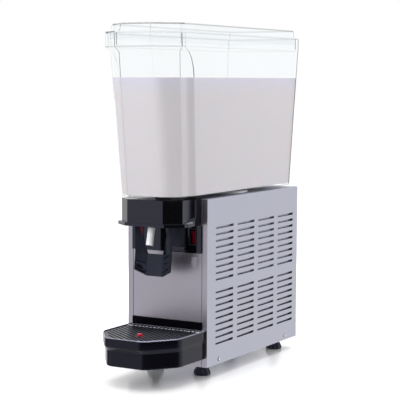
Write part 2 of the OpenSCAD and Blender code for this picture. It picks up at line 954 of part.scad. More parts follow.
// The spring stays on the stem, between the collar and the valve seat.
module valve_spring() {
  low = collar_z + 2 + spring_wire_r + 0.05;
  high = port_z - spring_wire_r - 0.05;
  rings = 8 * spring_turns;
  step = (high - low) / spring_turns;
  points = [
    for (i = [0 : rings])
      for (j = [0 : 5])
        let (
          a = 45 * i,
          r = spring_r + spring_wire_r * cos(60 * j)
        )
        [r * cos(a), r * sin(a), low + (high - low) * i / rings + spring_wire_r * sin(60 * j)]
  ];
  sides = [
    for (i = [0 : rings - 1])
      for (j = [0 : 5])
        [i * 6 + j, i * 6 + (j + 1) % 6, (i + 1) * 6 + (j + 1) % 6, (i + 1) * 6 + j]
  ];
  ends = [[5, 4, 3, 2, 1, 0], [for (j = [0 : 5]) rings * 6 + j]];
  echo("least gap between turns", step - 2 * spring_wire_r);
  color([0.75, 0.75, 0.76])
    placed()
      translate([0, -tap_y, 0])
        polyhedron(points = points, faces = concat(sides, ends));
}

// Tank

module tank() {
  levels = [
    arch_z0, arch_z0 + 15, arch_z0 + 27, arch_z0 + 36, arch_z0 + 42, nose_z1
  ];
  color([0.85, 0.88, 0.9, 0.35])
    placed()
      difference() {
        loft(concat(
          [[tank_z0, tank_outline(tank_z0)]],
          [for (z = levels) [z, tank_outline(z)]],
          [[rim_z0, tank_outline(rim_z0)], [rim_z1, tank_outline(rim_z1)]]
        ));
        loft(concat(
          [[floor_top, inset(tank_outline(floor_top), wall)]],
          [for (z = levels) [z, inset(tank_outline(z), wall)]],
          [
            [rim_z0, inset(tank_outline(nose_z1), wall)],
            [rim_z0 + 4, inset(tank_outline(rim_z0 + 4), wall + 0.5)],
            [rim_z1 + 1, inset(tank_outline(rim_z1), wall + 0.5)]
          ]
        ));
        rod_z(0, dome_y, tank_z0 - 1, floor_top + 1, dome_r + 3);
        rod_z(0, -tap_y, tank_z0 - 1, floor_top + 1, outlet_r + run_gap);
      }
}

module tank_outlet() {
  color([0.9, 0.9, 0.91])
    placed()
      difference() {
        union() {
          rod_z(0, -tap_y, seat_z + 5.5, floor_top + 1, outlet_r);
          rod_z(0, -tap_y, floor_top, floor_top + 2, outlet_r + 3);
        }
        rod_z(0, -tap_y, seat_z, floor_top + 3, outlet_r - 2);
      }
}

module outlet_seal() {
  color([0.12, 0.12, 0.12])
    placed()
      difference() {
        rod_z(0, -tap_y, tap_z1, tank_z0, outlet_r + 4);
        rod_z(0, -tap_y, tap_z1 - 1, tank_z0 + 1, outlet_r + seat_gap);
      }
}

module tank_gasket() {
  color([0.85, 0.85, 0.85])
    placed()
      difference() {
        rod_z(0, dome_y, cab_z1, tank_z0, dome_r + 12);
        rod_z(0, dome_y, cab_z1 - 1, tank_z0 + 1, dome_r + seat_gap);
      }
}

module drink() {
  top = tank_z0 + drink_h;
  color([0.93, 0.93, 0.92])
    placed()
      difference() {
        loft([
          [floor_top, inset(nose_outline(floor_top), wall + seat_gap)],
          [min(top, arch_z0), inset(nose_outline(min(top, arch_z0)), wall + seat_gap)]
        ]);
        rod_z(0, dome_y, tank_z0, stir_z + stir_h + 4, dome_r + 4);
        rod_z(0, -tap_y, tank_z0, floor_top + 2 + seat_gap, outlet_r + 3 + seat_gap);
      }
}

// Outline of the raised lid, set in by df in front, dk at the slants and ds at the sides and back.
function lid_outline(df, dk, ds) =
  let (
    b = rim_outline(rim_z1),
    e = (b[1] - b[0]) / norm(b[1] - b[0]),
    sy = b[1][1] + (dk - e[1] * ds) / e[0],
    cx = b[0][0] + (e[0] * df - dk) / e[1]
  )
  both_halves([
    [cx, b[0][1] + df], [b[1][0] - ds, sy], [b[2][0] - ds, sy + 6],
    [b[3][0] - ds, sy + 8], [b[4][0] - ds, b[4][1] - ds]
  ]);

module lid() {
  base = rim_outline(rim_z1);
  shoulder = rim_z1 + 2.5;
  top = rim_z1 + lid_rise;
  skirt = wall + 1.2;
  w = lid_wall;
  color([0.85, 0.88, 0.9, 0.35])
    placed()
      difference() {
        union() {
          loft([
            [rim_z1, inset(base, 1)],
            [shoulder, inset(base, 1)]
          ]);
          loft([
            [rim_z1 - 12, inset(base, skirt)],
            [rim_z1 + 1, inset(base, skirt)]
          ]);
          loft([
            [rim_z1 + 1, lid_outline(10, 11, 7)],
            [shoulder, lid_outline(10, 11, 7)],
            [top - 3, lid_outline(13, 14, 8)],
            [top, lid_outline(16, 17, 9.6)]
          ]);
        }
        loft([
          [rim_z1 - 13, inset(base, skirt + w)],
          [rim_z1 - 2, inset(base, skirt + w)],
          [shoulder, lid_outline(10 + w, 11 + w, 7 + w)],
          [top - w - 2, lid_outline(13 + w, 14 + w, 8 + w)],
          [top - w, lid_outline(16 + w, 17 + w, 9.6 + w)]
        ]);
      }
}

// Cooling

module evaporator() {
  color([0.78, 0.78, 0.8])
    placed()
      translate([0, dome_y, 0])
        rotate_extrude($fn = 96)
          polygon([
            [shaft_r + run_gap, boss_z], [boss_r, boss_z], [boss_r, cab_z1],
            [shaft_r + 6, cab_z1], [shaft_r + 6, dome_z1 - 4], [dome_r - 14, dome_z1 - 4],
            [dome_r - 4, dome_z1 - 12], [dome_r - 2, dome_z1 - 20], [dome_r - 2, cab_z1],
            [dome_r, cab_z1], [dome_r, dome_z1 - 18], [dome_r - 2, dome_z1 - 9],
            [dome_r - 12, dome_z1], [shaft_r + run_gap, dome_z1]
          ]);
}

module evaporator_nut() {
  color([0.75, 0.75, 0.76])
    placed()
      difference() {
        translate([0, dome_y, deck_under - 10])
          cylinder(h = 10, r = boss_r + 8, $fn = 6);
        rod_z(0, dome_y, boss_z - 1, cab_z1, boss_r + run_gap);
      }
}

module stirrer() {
  color([0.93, 0.93, 0.94])
    placed()
      translate([0, dome_y, stir_z])
        difference() {
          union() {
            cylinder(h = stir_h - 6, r = 12);
            for (a = [0, 120, 240])
              rotate([0, 0, a]) {
                block(8, stir_r - 3, -2.5, 2.5, 0, 6);
                block(stir_r - 14, stir_r - 3, -2.5, 2.5, 0, stir_h);
              }
          }
          translate([0, 0, -1])
            cylinder(h = stir_h - 10, r = shaft_r + run_gap);
        }
}

module drive_shaft() {
  color([0.75, 0.75, 0.76])
    placed()
      rod_z(0, dome_y, mixer_z1 - 8, stir_z + stir_h - 14, shaft_r);
}

module mixer_motor() {
  color([0.16, 0.16, 0.17])
    placed()
      difference() {
        union() {
          rod_z(0, dome_y, mixer_z1 - mixer_h, mixer_z1, mixer_r);
          rod_z(0, dome_y, mixer_z1 - mixer_h - 6, mixer_z1, mixer_r * 0.4);
        }
        rod_z(0, dome_y, mixer_z1 - 10, mixer_z1 + 1, shaft_r + run_gap);
      }
}

module motor_bracket() {
  color([0.7, 0.7, 0.72])
    placed()
      difference() {
        union() {
          block(-brk_x, brk_x, dome_y - 20, dome_y + 20, mixer_z1, mixer_z1 + 2);
          mirrored() {
            block(brk_x - 2, brk_x, dome_y - 20, dome_y + 20, mixer_z1, deck_under);
            block(brk_x - 2, brk_x + 14, dome_y - 20, dome_y + 20, deck_under - 2, deck_under);
          }
        }
        rod_z(0, dome_y, mixer_z1 - 1, mixer_z1 + 3, shaft_r + 4);
      }
}

module compressor() {
  color([0.06, 0.06, 0.065])
    placed()
      difference() {
        union() {
          translate([0, comp_y, comp_z0])
            rotate_extrude($fn = 96)
              polygon([
                [0, 0], [comp_r - 10, 0], [comp_r - 3, 4], [comp_r, 12], [comp_r, comp_h - 30],
                [comp_r - 6, comp_h - 13], [comp_r - 22, comp_h - 3], [0, comp_h]
              ]);
          block(-comp_foot_x, comp_foot_x, comp_y - comp_foot_y, comp_y + comp_foot_y, comp_foot_z, comp_z0);
        }
        mirrored()
          for (y = [-mount_y, mount_y])
            rod_z(mount_x, comp_y + y, comp_foot_z - 1, comp_z0 + 20, mount_pin_r);
      }
}

module compressor_mounts() {
  color([0.05, 0.05, 0.05])
    placed()
      mirrored()
        for (y = [-mount_y, mount_y])
          difference() {
            union() {
              rod_z(mount_x, comp_y + y, pan_top, comp_foot_z, mount_r);
              rod_z(mount_x, comp_y + y, pan_top, comp_z0 + 3, mount_pin_r - seat_gap);
            }
            rod_z(mount_x, comp_y + y, pan_top + 4, comp_z0 + 4, mount_pin_r - 2.5);
          }
}

module start_box() {
  color([0.08, 0.08, 0.09])
    placed()
      difference() {
        block(-20, 20, comp_y + comp_r - 12, comp_y + comp_r + 18, comp_z0 + 50, comp_z0 + 90);
        rod_z(0, comp_y, comp_z0, comp_z1, comp_r + seat_gap, $fn = 96);
      }
}

module condenser() {
  fins = floor((2 * cond_x - 8) / fin_step);
  first_x = -(fins - 1) / 2 * fin_step - fin_step * 0.35;
  color([0.75, 0.76, 0.78])
    placed()
      difference() {
        union() {
          block(-cond_x, cond_x, cond_y0, cond_y1, cond_z0, cond_z1);
          mirrored()
            block(cond_x - 14, cond_x - 2, cond_y0 + 20, cond_y1, pan_top, cond_z0 + 1);
        }
        for (i = [0 : fins - 1])
          translate([first_x + i * fin_step, cond_y0 - 1, cond_z0 + 5])
            cube([fin_step * 0.7, cond_d * 0.45, cond_h - 10]);
        for (i = [0 : fins - 1])
          translate([first_x + i * fin_step, cond_y1 - cond_d * 0.45, low_z])
            cube([fin_step * 0.7, cond_d * 0.45 + 1, cond_z1 - low_z - 5]);
      }
}

module condenser_bends() {
  color([0.72, 0.43, 0.28])
    placed()
      mirrored()
        for (i = [0 : 4])
          translate([cond_x, (cond_y0 + cond_y1) / 2, cond_z0 + 24 + i * bend_step])
            rotate([0, 90, 0])
              rotate([90, 0, 0])
                rotate_extrude(angle = 180, $fn = 48)
                  translate([bend_r, 0])
                    circle(r = pipe_r);
}

module fan_shroud() {
  color([0.7, 0.7, 0.72])
    placed()
      difference() {
        block(-cond_x, cond_x, cond_y1, shroud_y1, shroud_z0, cond_z1);
        block(-cond_x + 2, cond_x - 2, cond_y1 - 1, shroud_y1 - 2, shroud_z0 + 2, cond_z1 - 2);
        rod_y(0, cond_y1, shroud_y1 + 1, fan_z, fan_r + 2);
      }
}

module fan_blades() {
  color([0.08, 0.08, 0.085])
    placed()
      translate([0, 0, fan_z]) {
        rod_y(0, fan_y0, fan_y1, 0, 14);
        rod_y(0, fan_y1 - 1, fan_motor_y0 + 14, 0, 3);
        for (a = [0 : 72 : 288])
          rotate([0, a, 0])
            translate([0, (fan_y0 + fan_y1) / 2, 0])
              rotate([0, 0, 24])
                block(-13, 13, -0.8, 0.8, 11, fan_r - 2);
      }
}

module fan_motor() {
  color([0.3, 0.3, 0.31])
    placed()
      difference() {
        rod_y(0, fan_motor_y0, fan_motor_y0 + fan_motor_len, fan_z, fan_motor_r);
        rod_y(0, fan_motor_y0 - 1, fan_motor_y0 + 16, fan_z, 3 + run_gap);
      }
}

module fan_bracket() {
  back = fan_motor_y0 + fan_motor_len;
  color([0.7, 0.7, 0.72])
    placed() {
      block(-cond_x, cond_x, back, back + 2, fan_z - 8, fan_z + 8);
      mirrored()
        block(cond_x - 2, cond_x, shroud_y1, back + 2, fan_z - 8, fan_z + 8);
    }
}

module elbow(x, y, z, r, a) {
  translate([x, y, z])
    rotate([a, 0, 0])
      rotate([90, 0, 90])
        rotate_extrude(angle = 90, $fn = 48)
          translate([elbow_r, 0])
            circle(r = r);
}

module filter_drier() {
  color([0.72, 0.43, 0.28])
    placed()
      translate([drier_x, drier_y, drier_z0])
        rotate_extrude()
          polygon([
            [0, 0], [pipe_r + 0.5, 0], [drier_r, drier_taper], [drier_r, drier_len - drier_taper],
            [pipe_r + 0.5, drier_len], [0, drier_len]
          ]);
}

module suction_line() {
  color([0.72, 0.43, 0.28])
    placed() {
      rod_z(suction_x, suction_y, suction_z + elbow_r, cab_z1 + 6, pipe_r);
      elbow(suction_x, suction_y + elbow_r, suction_z + elbow_r, pipe_r, 180);
      rod_y(suction_x, suction_y + elbow_r, suction_end, suction_z, pipe_r);
    }
}

module liquid_line() {
  color([0.72, 0.43, 0.28])
    placed() {
      rod_z(drier_x, drier_y, drier_z0 + drier_len, cab_z1 + 6, pipe_r);
      rod_z(drier_x, drier_y, low_z + elbow_r, drier_z0, pipe_r);
      elbow(drier_x, drier_y - elbow_r, low_z + elbow_r, pipe_r, 270);
      rod_y(drier_x, cond_y1, drier_y - elbow_r, low_z, pipe_r);
    }
}

module discharge_line() {
  color([0.72, 0.43, 0.28])
    placed()
      rod_y(discharge_x, cond_y1, discharge_end, low_z, pipe_r);
}

// Rear fittings

module thermostat() {
  inner = cab_d - sheet;
  color([0.85, 0.85, 0.82])
    placed() {
      block(knob_x - 16, knob_x + 16, inner - 24, inner, knob_z - 20, knob_z + 20);
      rod_y(knob_x, inner - 1, cab_d + 0.2, knob_z, 5);
      rod_y(knob_x, cab_d, cab_d + 7, knob_z, 3);
    }
}

module thermostat_knob() {
  color([0.04, 0.04, 0.045])
    placed()
      difference() {
        union() {
          rod_y(knob_x, cab_d + 0.6, cab_d + 6, knob_z, knob_r);
          block(
            knob_x - 3, knob_x + 3, cab_d + 5, cab_d + 10.5,
            knob_z - knob_r + 1.5, knob_z + knob_r - 1.5
          );
        }
        rod_y(knob_x, cab_d - 1, cab_d + 7.5, knob_z, 3 + run_gap);
      }
}

module terminal_block() {
  color([0.88, 0.88, 0.85])
    placed()
      difference() {
        block(block_x, block_x + block_w, cab_d - 44, cab_d - 29, pan_top, pan_top + 18);
        for (i = [0 : 2])
          rod_z(block_x + 6 + i * 10, cab_d - 36.5, pan_top + 8, pan_top + 19, 2.5);
      }
}

module cable_gland() {
  color([0.05, 0.05, 0.055])
    placed()
      difference() {
        union() {
          rod_y(gland_x, cab_d - sheet - 8, cab_d + 1, gland_z, gland_r);
          rod_y(gland_x, cab_d - sheet - 5, cab_d - sheet, gland_z, gland_r + 4);
          rod_y(gland_x, cab_d, cab_d + 3, gland_z, gland_r + 3);
          rod_y(gland_x, cab_d, cab_d + 10, gland_z, gland_r - 1);
        }
        rod_y(gland_x, cab_d - 20, cab_d + 12, gland_z, 4);
      }
}

// Drip tray

module tray_pins() {
  color([0.75, 0.75, 0.76])
    placed()
      mirrored() {
        rod_y(tray_pin_x, -tray_pin_len, 2 * sheet, tray_pin_z, tray_pin_r);
        rod_y(tray_pin_x, 2 * sheet, 2 * sheet + 3, tray_pin_z, tray_pin_r + 3);
      }
}

module drip_tray() {
  color([0.035, 0.037, 0.045])
    placed()
      difference() {
        union() {
          tray_shape(0, 0, 0, tray_back, tray_z1 - tray_band_h, tray_z1);
          tray_shape(tray_step, tray_slant, tray_flank, tray_back, tray_z0, tray_z1 - tray_band_h);
        }
        tray_shape(tray_wall, tray_wall, tray_wall, -4, ledge_z, tray_z1 + 1);
        tray_shape(
          tray_step + tray_wall + 1, tray_slant + tray_wall + 1, tray_flank + tray_wall + 1,
          -14, basin_z, tray_z1
        );
        mirrored()
          rod_y(tray_pin_x, -tray_pin_len - 2, 1, tray_pin_z, tray_pin_r + run_gap);
      }
}

module drip_grid() {
  top = ledge_z + grid_t;
  color([0.04, 0.042, 0.05])
    placed()
      difference() {
        tray_shape(tray_wall + 0.5, tray_wall + 0.5, tray_wall + 0.5, -4.5, ledge_z, top);
        difference() {
          intersection() {
            tray_shape(tray_wall + 7, tray_wall + 7, tray_wall + 7, -20, ledge_z - 1, top + 1);
            translate([0, -75, ledge_z - 1])
              rotate([0, 0, -35])
                for (i = [-12 : 12])
                  translate([-150, i * slat_step - slit_w / 2, 0])
                    cube([300, slit_w, grid_t + 2]);
          }
          rod_z(0, float_y, ledge_z - 2, top + 2, float_r + 5);
        }
        for (i = [-8 : 8])
          rod_z(i * 8.6, -12, ledge_z - 1, top + 1, 1.7);
        rod_z(0, float_y, ledge_z - 1, top + 1, float_r + 0.4);
      }
}

module float_marker() {
  color([0.75, 0.03, 0.05])
    placed() {
      rod_z(0, float_y, basin_z, basin_z + 10, 15);
      rod_z(0, float_y, basin_z + 9, tray_z1 + 2, float_r);
    }
}

base_pan();
feet();
foot_studs();
front_panel();
right_side_panel();
left_side_panel();
rear_panel();
top_deck();
panel_screws();
switch_panel();
switch_bodies();
left_rocker();
right_rocker();
blank_plate();
notice_plate();
label_strip();
front_cover();
lever_bracket();
lever_pins();
tap_lever();
tap_body();
spout();
valve_stem();
valve_plug();
valve_spring();
tank();
tank_outlet();
outlet_seal();
tank_gasket();
drink();
lid();
evaporator();
evaporator_nut();
stirrer();
drive_shaft();
mixer_motor();
motor_bracket();
compressor();
compressor_mounts();
start_box();
condenser();
condenser_bends();
fan_shroud();
fan_motor();
fan_bracket();
fan_blades();
filter_drier();
suction_line();
liquid_line();
discharge_line();
thermostat();
thermostat_knob();
terminal_block();
cable_gland();
tray_pins();
drip_tray();
drip_grid();
float_marker();
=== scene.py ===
import bmesh
import bpy
import json
import math
from mathutils import Matrix, Vector, kdtree

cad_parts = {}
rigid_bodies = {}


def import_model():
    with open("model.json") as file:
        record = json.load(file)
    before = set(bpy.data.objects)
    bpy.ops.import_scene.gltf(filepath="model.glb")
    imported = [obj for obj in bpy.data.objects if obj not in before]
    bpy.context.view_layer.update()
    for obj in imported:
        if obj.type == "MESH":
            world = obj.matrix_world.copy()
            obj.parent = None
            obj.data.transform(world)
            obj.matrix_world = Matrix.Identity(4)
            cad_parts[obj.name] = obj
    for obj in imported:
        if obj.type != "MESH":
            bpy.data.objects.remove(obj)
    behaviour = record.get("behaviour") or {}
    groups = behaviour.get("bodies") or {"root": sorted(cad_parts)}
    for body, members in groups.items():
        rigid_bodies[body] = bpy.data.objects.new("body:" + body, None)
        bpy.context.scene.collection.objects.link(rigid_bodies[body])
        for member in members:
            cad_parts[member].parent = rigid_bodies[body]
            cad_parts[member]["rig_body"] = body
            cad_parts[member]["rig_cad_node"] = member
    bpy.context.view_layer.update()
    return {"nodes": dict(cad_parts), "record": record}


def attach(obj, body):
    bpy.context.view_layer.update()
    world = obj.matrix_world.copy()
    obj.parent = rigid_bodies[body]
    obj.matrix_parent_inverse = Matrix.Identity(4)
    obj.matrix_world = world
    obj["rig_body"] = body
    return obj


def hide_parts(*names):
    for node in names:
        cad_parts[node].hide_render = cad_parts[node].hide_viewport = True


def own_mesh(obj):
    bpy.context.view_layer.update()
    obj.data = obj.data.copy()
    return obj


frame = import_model()
nodes = frame["nodes"]
bodyOf = {n: b for b, members in frame["record"]["behaviour"]["bodies"].items() for n in members}
slotOf = {s["node"]: s["material_slot"] for s in frame["record"]["subparts"]}
mm = 0.001
touching = 0.01 * mm  # points this close are the same point
frontY = -124.25  # the cabinet's front plane, from the origin
print("frame loaded:", len(nodes), "nodes")


def at(x, y, z):  # millimetres from the cabinet's front plane and the floor, to metres in the frame
    return Vector((x * mm, (y + frontY) * mm, z * mm))


def colour(r, g, b):  # a colour as it looks on screen, to scene values
    def linear(c):
        c = c / 255
        return c / 12.92 if c <= 0.04045 else ((c + 0.055) / 1.055) ** 2.4

    return (linear(r), linear(g), linear(b), 1)


class Wire:  # one output socket, with arithmetic that adds Math nodes
    def __init__(self, board, socket):
        self.board = board
        self.socket = socket

    def maths(self, operation, first, second):
        return self.board.node("ShaderNodeMath", {"operation": operation}, {0: first, 1: second})

    def __add__(self, other):
        return self.maths("ADD", self, other)

    __radd__ = __add__

    def __rsub__(self, other):
        return self.maths("SUBTRACT", other, self)

    def __mul__(self, other):
        return self.maths("MULTIPLY", self, other)

    __rmul__ = __mul__

    def __or__(self, other):
        return self.maths("MAXIMUM", self, other)


rayKinds = {"camera": 0, "shadow": 1, "diffuse": 2, "glossy": 3, "through": 6}  # places on the Light Path node


class Board:  # a node tree that nodes are put on
    def __init__(self, tree):
        self.tree = tree

    def node(self, kind, settings, sockets, out=0):
        made = self.tree.nodes.new(kind)
        for key, value in settings.items():
            setattr(made, key, value)
        for key, value in sockets.items():
            self.feed(made.inputs[key], value)
        return Wire(self, made.outputs[out])

    def feed(self, socket, value):
        if isinstance(value, Wire):
            self.tree.links.new(value.socket, socket)
        else:
            socket.default_value = value

    def between(self, value, low, high, start=0.0, end=1.0, kind="LINEAR"):
        return self.node("ShaderNodeMapRange", {"interpolation_type": kind},
                         {"Value": value, 1: start, 2: end, 3: low, 4: high})

    def ray(self, kind):
        return self.node("ShaderNodeLightPath", {}, {}, out=rayKinds[kind])

    def part(self, vector, index):
        return self.node("ShaderNodeSeparateXYZ", {}, {0: vector}, out=index)


class Paint(Board):  # a material
    def __init__(self, name):
        self.material = bpy.data.materials.new(name)
        self.material.use_nodes = True
        super().__init__(self.material.node_tree)
        self.shader = self.tree.nodes["Principled BSDF"]
        self.output = self.tree.nodes["Material Output"]
        self.surface = Wire(self, self.shader.outputs[0])

    def set(self, **sockets):
        for key, value in sockets.items():
            self.feed(self.shader.inputs[key.replace("_", " ")], value)

    def show(self, surface):
        self.feed(self.output.inputs["Surface"], surface)

    def mixed(self, mask, first, second):
        return self.node("ShaderNodeMixShader", {}, {0: mask, 1: first, 2: second})

    def where(self):
        return self.node("ShaderNodeTexCoord", {}, {}, out=3)

    def axis(self, index):  # the place along X, Y or Z, in metres
        return self.part(self.where(), index)

    def facing(self, index):  # the surface's direction along X, Y or Z
        return self.part(self.node("ShaderNodeNewGeometry", {}, {}, out=1), index)

    def noise(self, scale, detail=2, stretch=(1, 1, 1), roughness=0.5):
        spread = self.node("ShaderNodeMapping", {}, {"Vector": self.where(), "Scale": stretch})
        return self.node("ShaderNodeTexNoise", {},
                         {"Vector": spread, "Scale": scale, "Detail": detail, "Roughness": roughness})

    def tint(self, mask, low, high):
        return self.node("ShaderNodeMix", {"data_type": "RGBA"}, {0: mask, 6: low, 7: high}, out=2)

    def bump(self, height, strength, distance=0.0002):
        return self.node("ShaderNodeBump", {}, {"Height": height, "Strength": strength, "Distance": distance})

    def rough(self, height, low, high):
        return self.between(height, low, high, 0.25, 0.75)


def sheetSteel(name, low, high, grain=(3, 3, 700), gloss=(0.26, 0.38), front=None):
    paint = Paint(name)
    lines = paint.noise(1.0, 4, grain, 0.6)  # brushed one way
    cloud = paint.noise(9.0)  # and clouded a little by handling
    plain = paint.tint(lines * 0.5 + cloud * 0.5, low, high)
    if front:  # painted shade: folds that face forward take the darker colour the front panel shows under this light
        plain = paint.tint(paint.between(paint.facing(1), 1.0, 0.0, -0.9, -0.5), plain, front)
    paint.set(Base_Color=plain, Metallic=1.0)
    paint.set(Roughness=paint.rough(lines * 0.6 + cloud * 0.4, *gloss), Normal=paint.bump(lines, 0.1))
    return paint.material


coolShine = (0.66, 0.69, 1, 1)  # plastic mirrors the studio a little blue


def moulding(name, low, high, gloss=(0.2, 0.32), grain=900.0, depth=0.06, coat=0.0, mirror=0.5, paintedHighlight=None):
    paint = Paint(name)
    flow = paint.noise(14.0, 2, (1, 1, 0.5))  # faint flow marks
    speck = paint.noise(grain)  # and a fine grain
    plain = paint.tint(flow, low, high)
    if paintedHighlight:  # a painted highlight: lighter between two places on an axis
        axis, first, last, pale = paintedHighlight
        place = paint.axis(axis)
        highlightBand = paint.between(place, 0.0, 1.0, *first) * paint.between(place, 1.0, 0.0, *last)
        plain = paint.tint(highlightBand, plain, pale)
    paint.set(Base_Color=plain, Roughness=paint.rough(flow * 0.6 + speck * 0.4, *gloss))
    paint.set(Normal=paint.bump(speck, depth), Coat_Weight=coat)
    paint.set(Specular_IOR_Level=mirror, Specular_Tint=coolShine)
    return paint.material


def clearMoulding(name, wallTint, refractionTint, throughTint):  # clear walls with painted dark lines along their edges, standing in for refraction in the walls
    paint = Paint(name)
    haze = paint.noise(30.0)
    edge = paint.node("ShaderNodeAttribute", {"attribute_name": "refractionLine"}, {}, out=2)
    plain = paint.tint(paint.between(edge, 0.0, 1.0, 0.0, 0.03), wallTint, refractionTint)
    paint.set(Base_Color=plain, Roughness=paint.rough(haze, 0.2, 0.3), IOR=1.49)
    through = paint.node("ShaderNodeBsdfTransparent", {}, {"Color": throughTint})
    body = (edge * 0.96 + 0.02) * (1 - paint.ray("shadow") * 0.7)  # shadows stay faint
    paint.show(paint.mixed(body, through, paint.surface))
    return paint.material


def whiteDrink(name, low, high, bandTint, bandZ, topShade):  # bluish in a band under the surface, warmer below
    paint = Paint(name)
    swirl = paint.noise(7.0, 3, (1, 1, 0.4))
    upper = paint.between(paint.axis(2), 0.0, 1.0, *bandZ, "SMOOTHSTEP")
    side = paint.tint(upper, paint.tint(swirl, low, high), bandTint)
    # painted shade: faces turned upwards take a darker colour under the strong top light
    surface = paint.between(paint.facing(2), 0.0, 1.0, 0.6, 0.9)
    paint.set(Base_Color=paint.tint(surface, side, topShade), Roughness=paint.rough(swirl, 0.3, 0.42))
    paint.set(Subsurface_Weight=0.15, Subsurface_Scale=0.008)
    return paint.material


def drawnTube(name, low, high):
    paint = Paint(name)
    stain = paint.noise(60.0, 4)
    paint.set(Base_Color=paint.tint(stain, low, high), Metallic=1.0)
    paint.set(Roughness=paint.rough(stain, 0.25, 0.5), Normal=paint.bump(stain, 0.1, 0.0004))
    return paint.material


finishes = {  # one for each material slot of the frame
    # the steel's forward-facing folds carry painted shade
    "steel": sheetSteel("brushedSheet", colour(188, 189, 203), colour(196, 197, 211),
                        front=colour(172, 168, 180)),
    "bright_steel": sheetSteel("turnedSteel", colour(186, 187, 192), colour(214, 215, 218),
                               (400, 400, 40), (0.14, 0.28)),
    "black_gloss": moulding("blackMoulding", colour(6, 6, 8), colour(9, 9, 12), (0.05, 0.12),
                            depth=0.02, coat=0.2),
    "black_plastic": moulding("blackGrain", colour(14, 14, 16), colour(22, 22, 25), (0.3, 0.45), depth=0.2),
    "red_plastic": moulding("redMoulding", colour(170, 14, 34), colour(196, 26, 46), (0.16, 0.26), coat=0.2),
    "pale_plastic": moulding("whiteMoulding", colour(236, 235, 238), colour(243, 243, 245), (0.25, 0.38)),
    "black_rubber": moulding("blackRubber", colour(5, 5, 7), colour(10, 10, 12), (0.4, 0.55),
                             depth=0.3, mirror=0.05),
    "pale_rubber": moulding("paleRubber", colour(206, 206, 202), colour(222, 222, 218), (0.5, 0.7), depth=0.2),
    "clear_plastic": clearMoulding("clearMoulding", colour(236, 238, 242), colour(20, 20, 27),
                                   colour(253, 253.7, 254)),
    # the last colour is painted shade for the drink's upward faces
    "drink": whiteDrink("whiteDrink", colour(198, 193, 197), colour(202, 197, 200),
                        colour(198, 196, 208), (0.545, 0.586), colour(160, 157, 164)),
    "motor_paint": moulding("blackEnamel", colour(24, 24, 26), colour(38, 38, 40), (0.3, 0.5),
                            grain=300.0, depth=0.15),
    "fins": sheetSteel("plainAluminium", colour(184, 186, 190), colour(208, 210, 213),
                       (40, 40, 300), (0.3, 0.45)),
    "copper": drawnTube("drawnCopper", colour(150, 92, 62), colour(206, 140, 104)),
}
looks = {  # copies of the finishes for single pieces, several with painted shade and painted highlights
    # painted shade: the front panel's steel is a darker copy of the side steel, as less light falls on it
    "shadedFrontSheet": sheetSteel("shadedBrushedFront", colour(170, 166, 178), colour(178, 174, 186), gloss=(0.3, 0.42)),
    "trayGloss": moulding("trayMoulding", colour(4, 4, 8), colour(7, 7, 12), (0.1, 0.17),
                          depth=0.03, mirror=0.32,
                          # painted highlight along the rim's top edge
                          paintedHighlight=(2, (0.0957, 0.0964), (1, 2), colour(116, 117, 128))),
    "leverGrain": moulding("leverMoulding", colour(31, 33, 42), colour(38, 40, 49), (0.24, 0.34),
                           depth=0.08, mirror=0.25),
    "gridGrain": moulding("gridMoulding", colour(30, 32, 37), colour(37, 38, 44), (0.24, 0.34),
                          depth=0.08, mirror=0.25,
                          # painted highlight along the row of holes at the grid's back
                          paintedHighlight=(1, (-0.1394, -0.139), (-0.1335, -0.1331), colour(214, 214, 222))),
    # painted shade: a darker red than the red moulding, for the recess the rockers sit in
    "shadedRockerRed": moulding("shadedRockerMoulding", colour(112, 4, 24), colour(130, 8, 32), (0.12, 0.2), mirror=0.15),
    # painted highlight: the screw heads are paler than the turned steel
    "highlitScrewSteel": sheetSteel("highlitScrewSteel", colour(240, 240, 244), colour(249, 249, 251),
                             (400, 400, 40), (0.1, 0.18)),
    "stripGloss": moulding("stripMoulding", colour(6, 6, 9), colour(9, 9, 13), (0.12, 0.2),
                           depth=0.03, mirror=0.03),
    "noticeFoil": moulding("noticeFoil", colour(150, 148, 160), colour(158, 156, 168), (0.3, 0.45)),
}
for name, node in nodes.items():
    node.data.materials.clear()
    node.data.materials.append(finishes[slotOf[name]])
print("finishes:", len(finishes) + len(looks))


def letGo():
    if bpy.context.object and bpy.context.object.mode != "OBJECT":
        bpy.ops.object.mode_set(mode="OBJECT")
    bpy.ops.object.select_all(action="DESELECT")


def hold(piece):
    letGo()
    piece.select_set(True)
    bpy.context.view_layer.objects.active = piece


def edit(piece):
    hold(piece)
    bpy.ops.object.mode_set(mode="EDIT")
    return bmesh.from_edit_mesh(piece.data)


def settle(piece):  # the object goes to the origin, and its place into its mesh
    hold(piece)
    bpy.ops.object.transform_apply(location=True, rotation=True, scale=True)


def faceOut(piece):
    edit(piece)
    bpy.ops.mesh.select_all(action="SELECT")
    bpy.ops.mesh.normals_make_consistent(inside=False)
    letGo()


def ringBody(name, rings):  # a filled ring extruded from ring to ring, so both ends stay closed
    letGo()
    bpy.ops.mesh.primitive_circle_add(vertices=len(rings[0]), radius=0.1, fill_type="NGON")
    piece = bpy.context.object
    piece.name = name
    mesh = edit(piece)
    for corner, point in zip(mesh.verts, rings[0]):
        corner.co = point
    bpy.ops.mesh.select_mode(type="FACE")
    bpy.ops.mesh.select_all(action="SELECT")
    for last, ring in zip(rings, rings[1:]):
        bpy.ops.mesh.extrude_region_move()
        mesh = bmesh.from_edit_mesh(piece.data)
        for corner in [v for v in mesh.verts if v.select]:
            nearest = min(range(len(last)), key=lambda i: (corner.co - last[i]).length_squared)
            corner.co = ring[nearest]
    bmesh.update_edit_mesh(piece.data)
    faceOut(piece)
    return piece


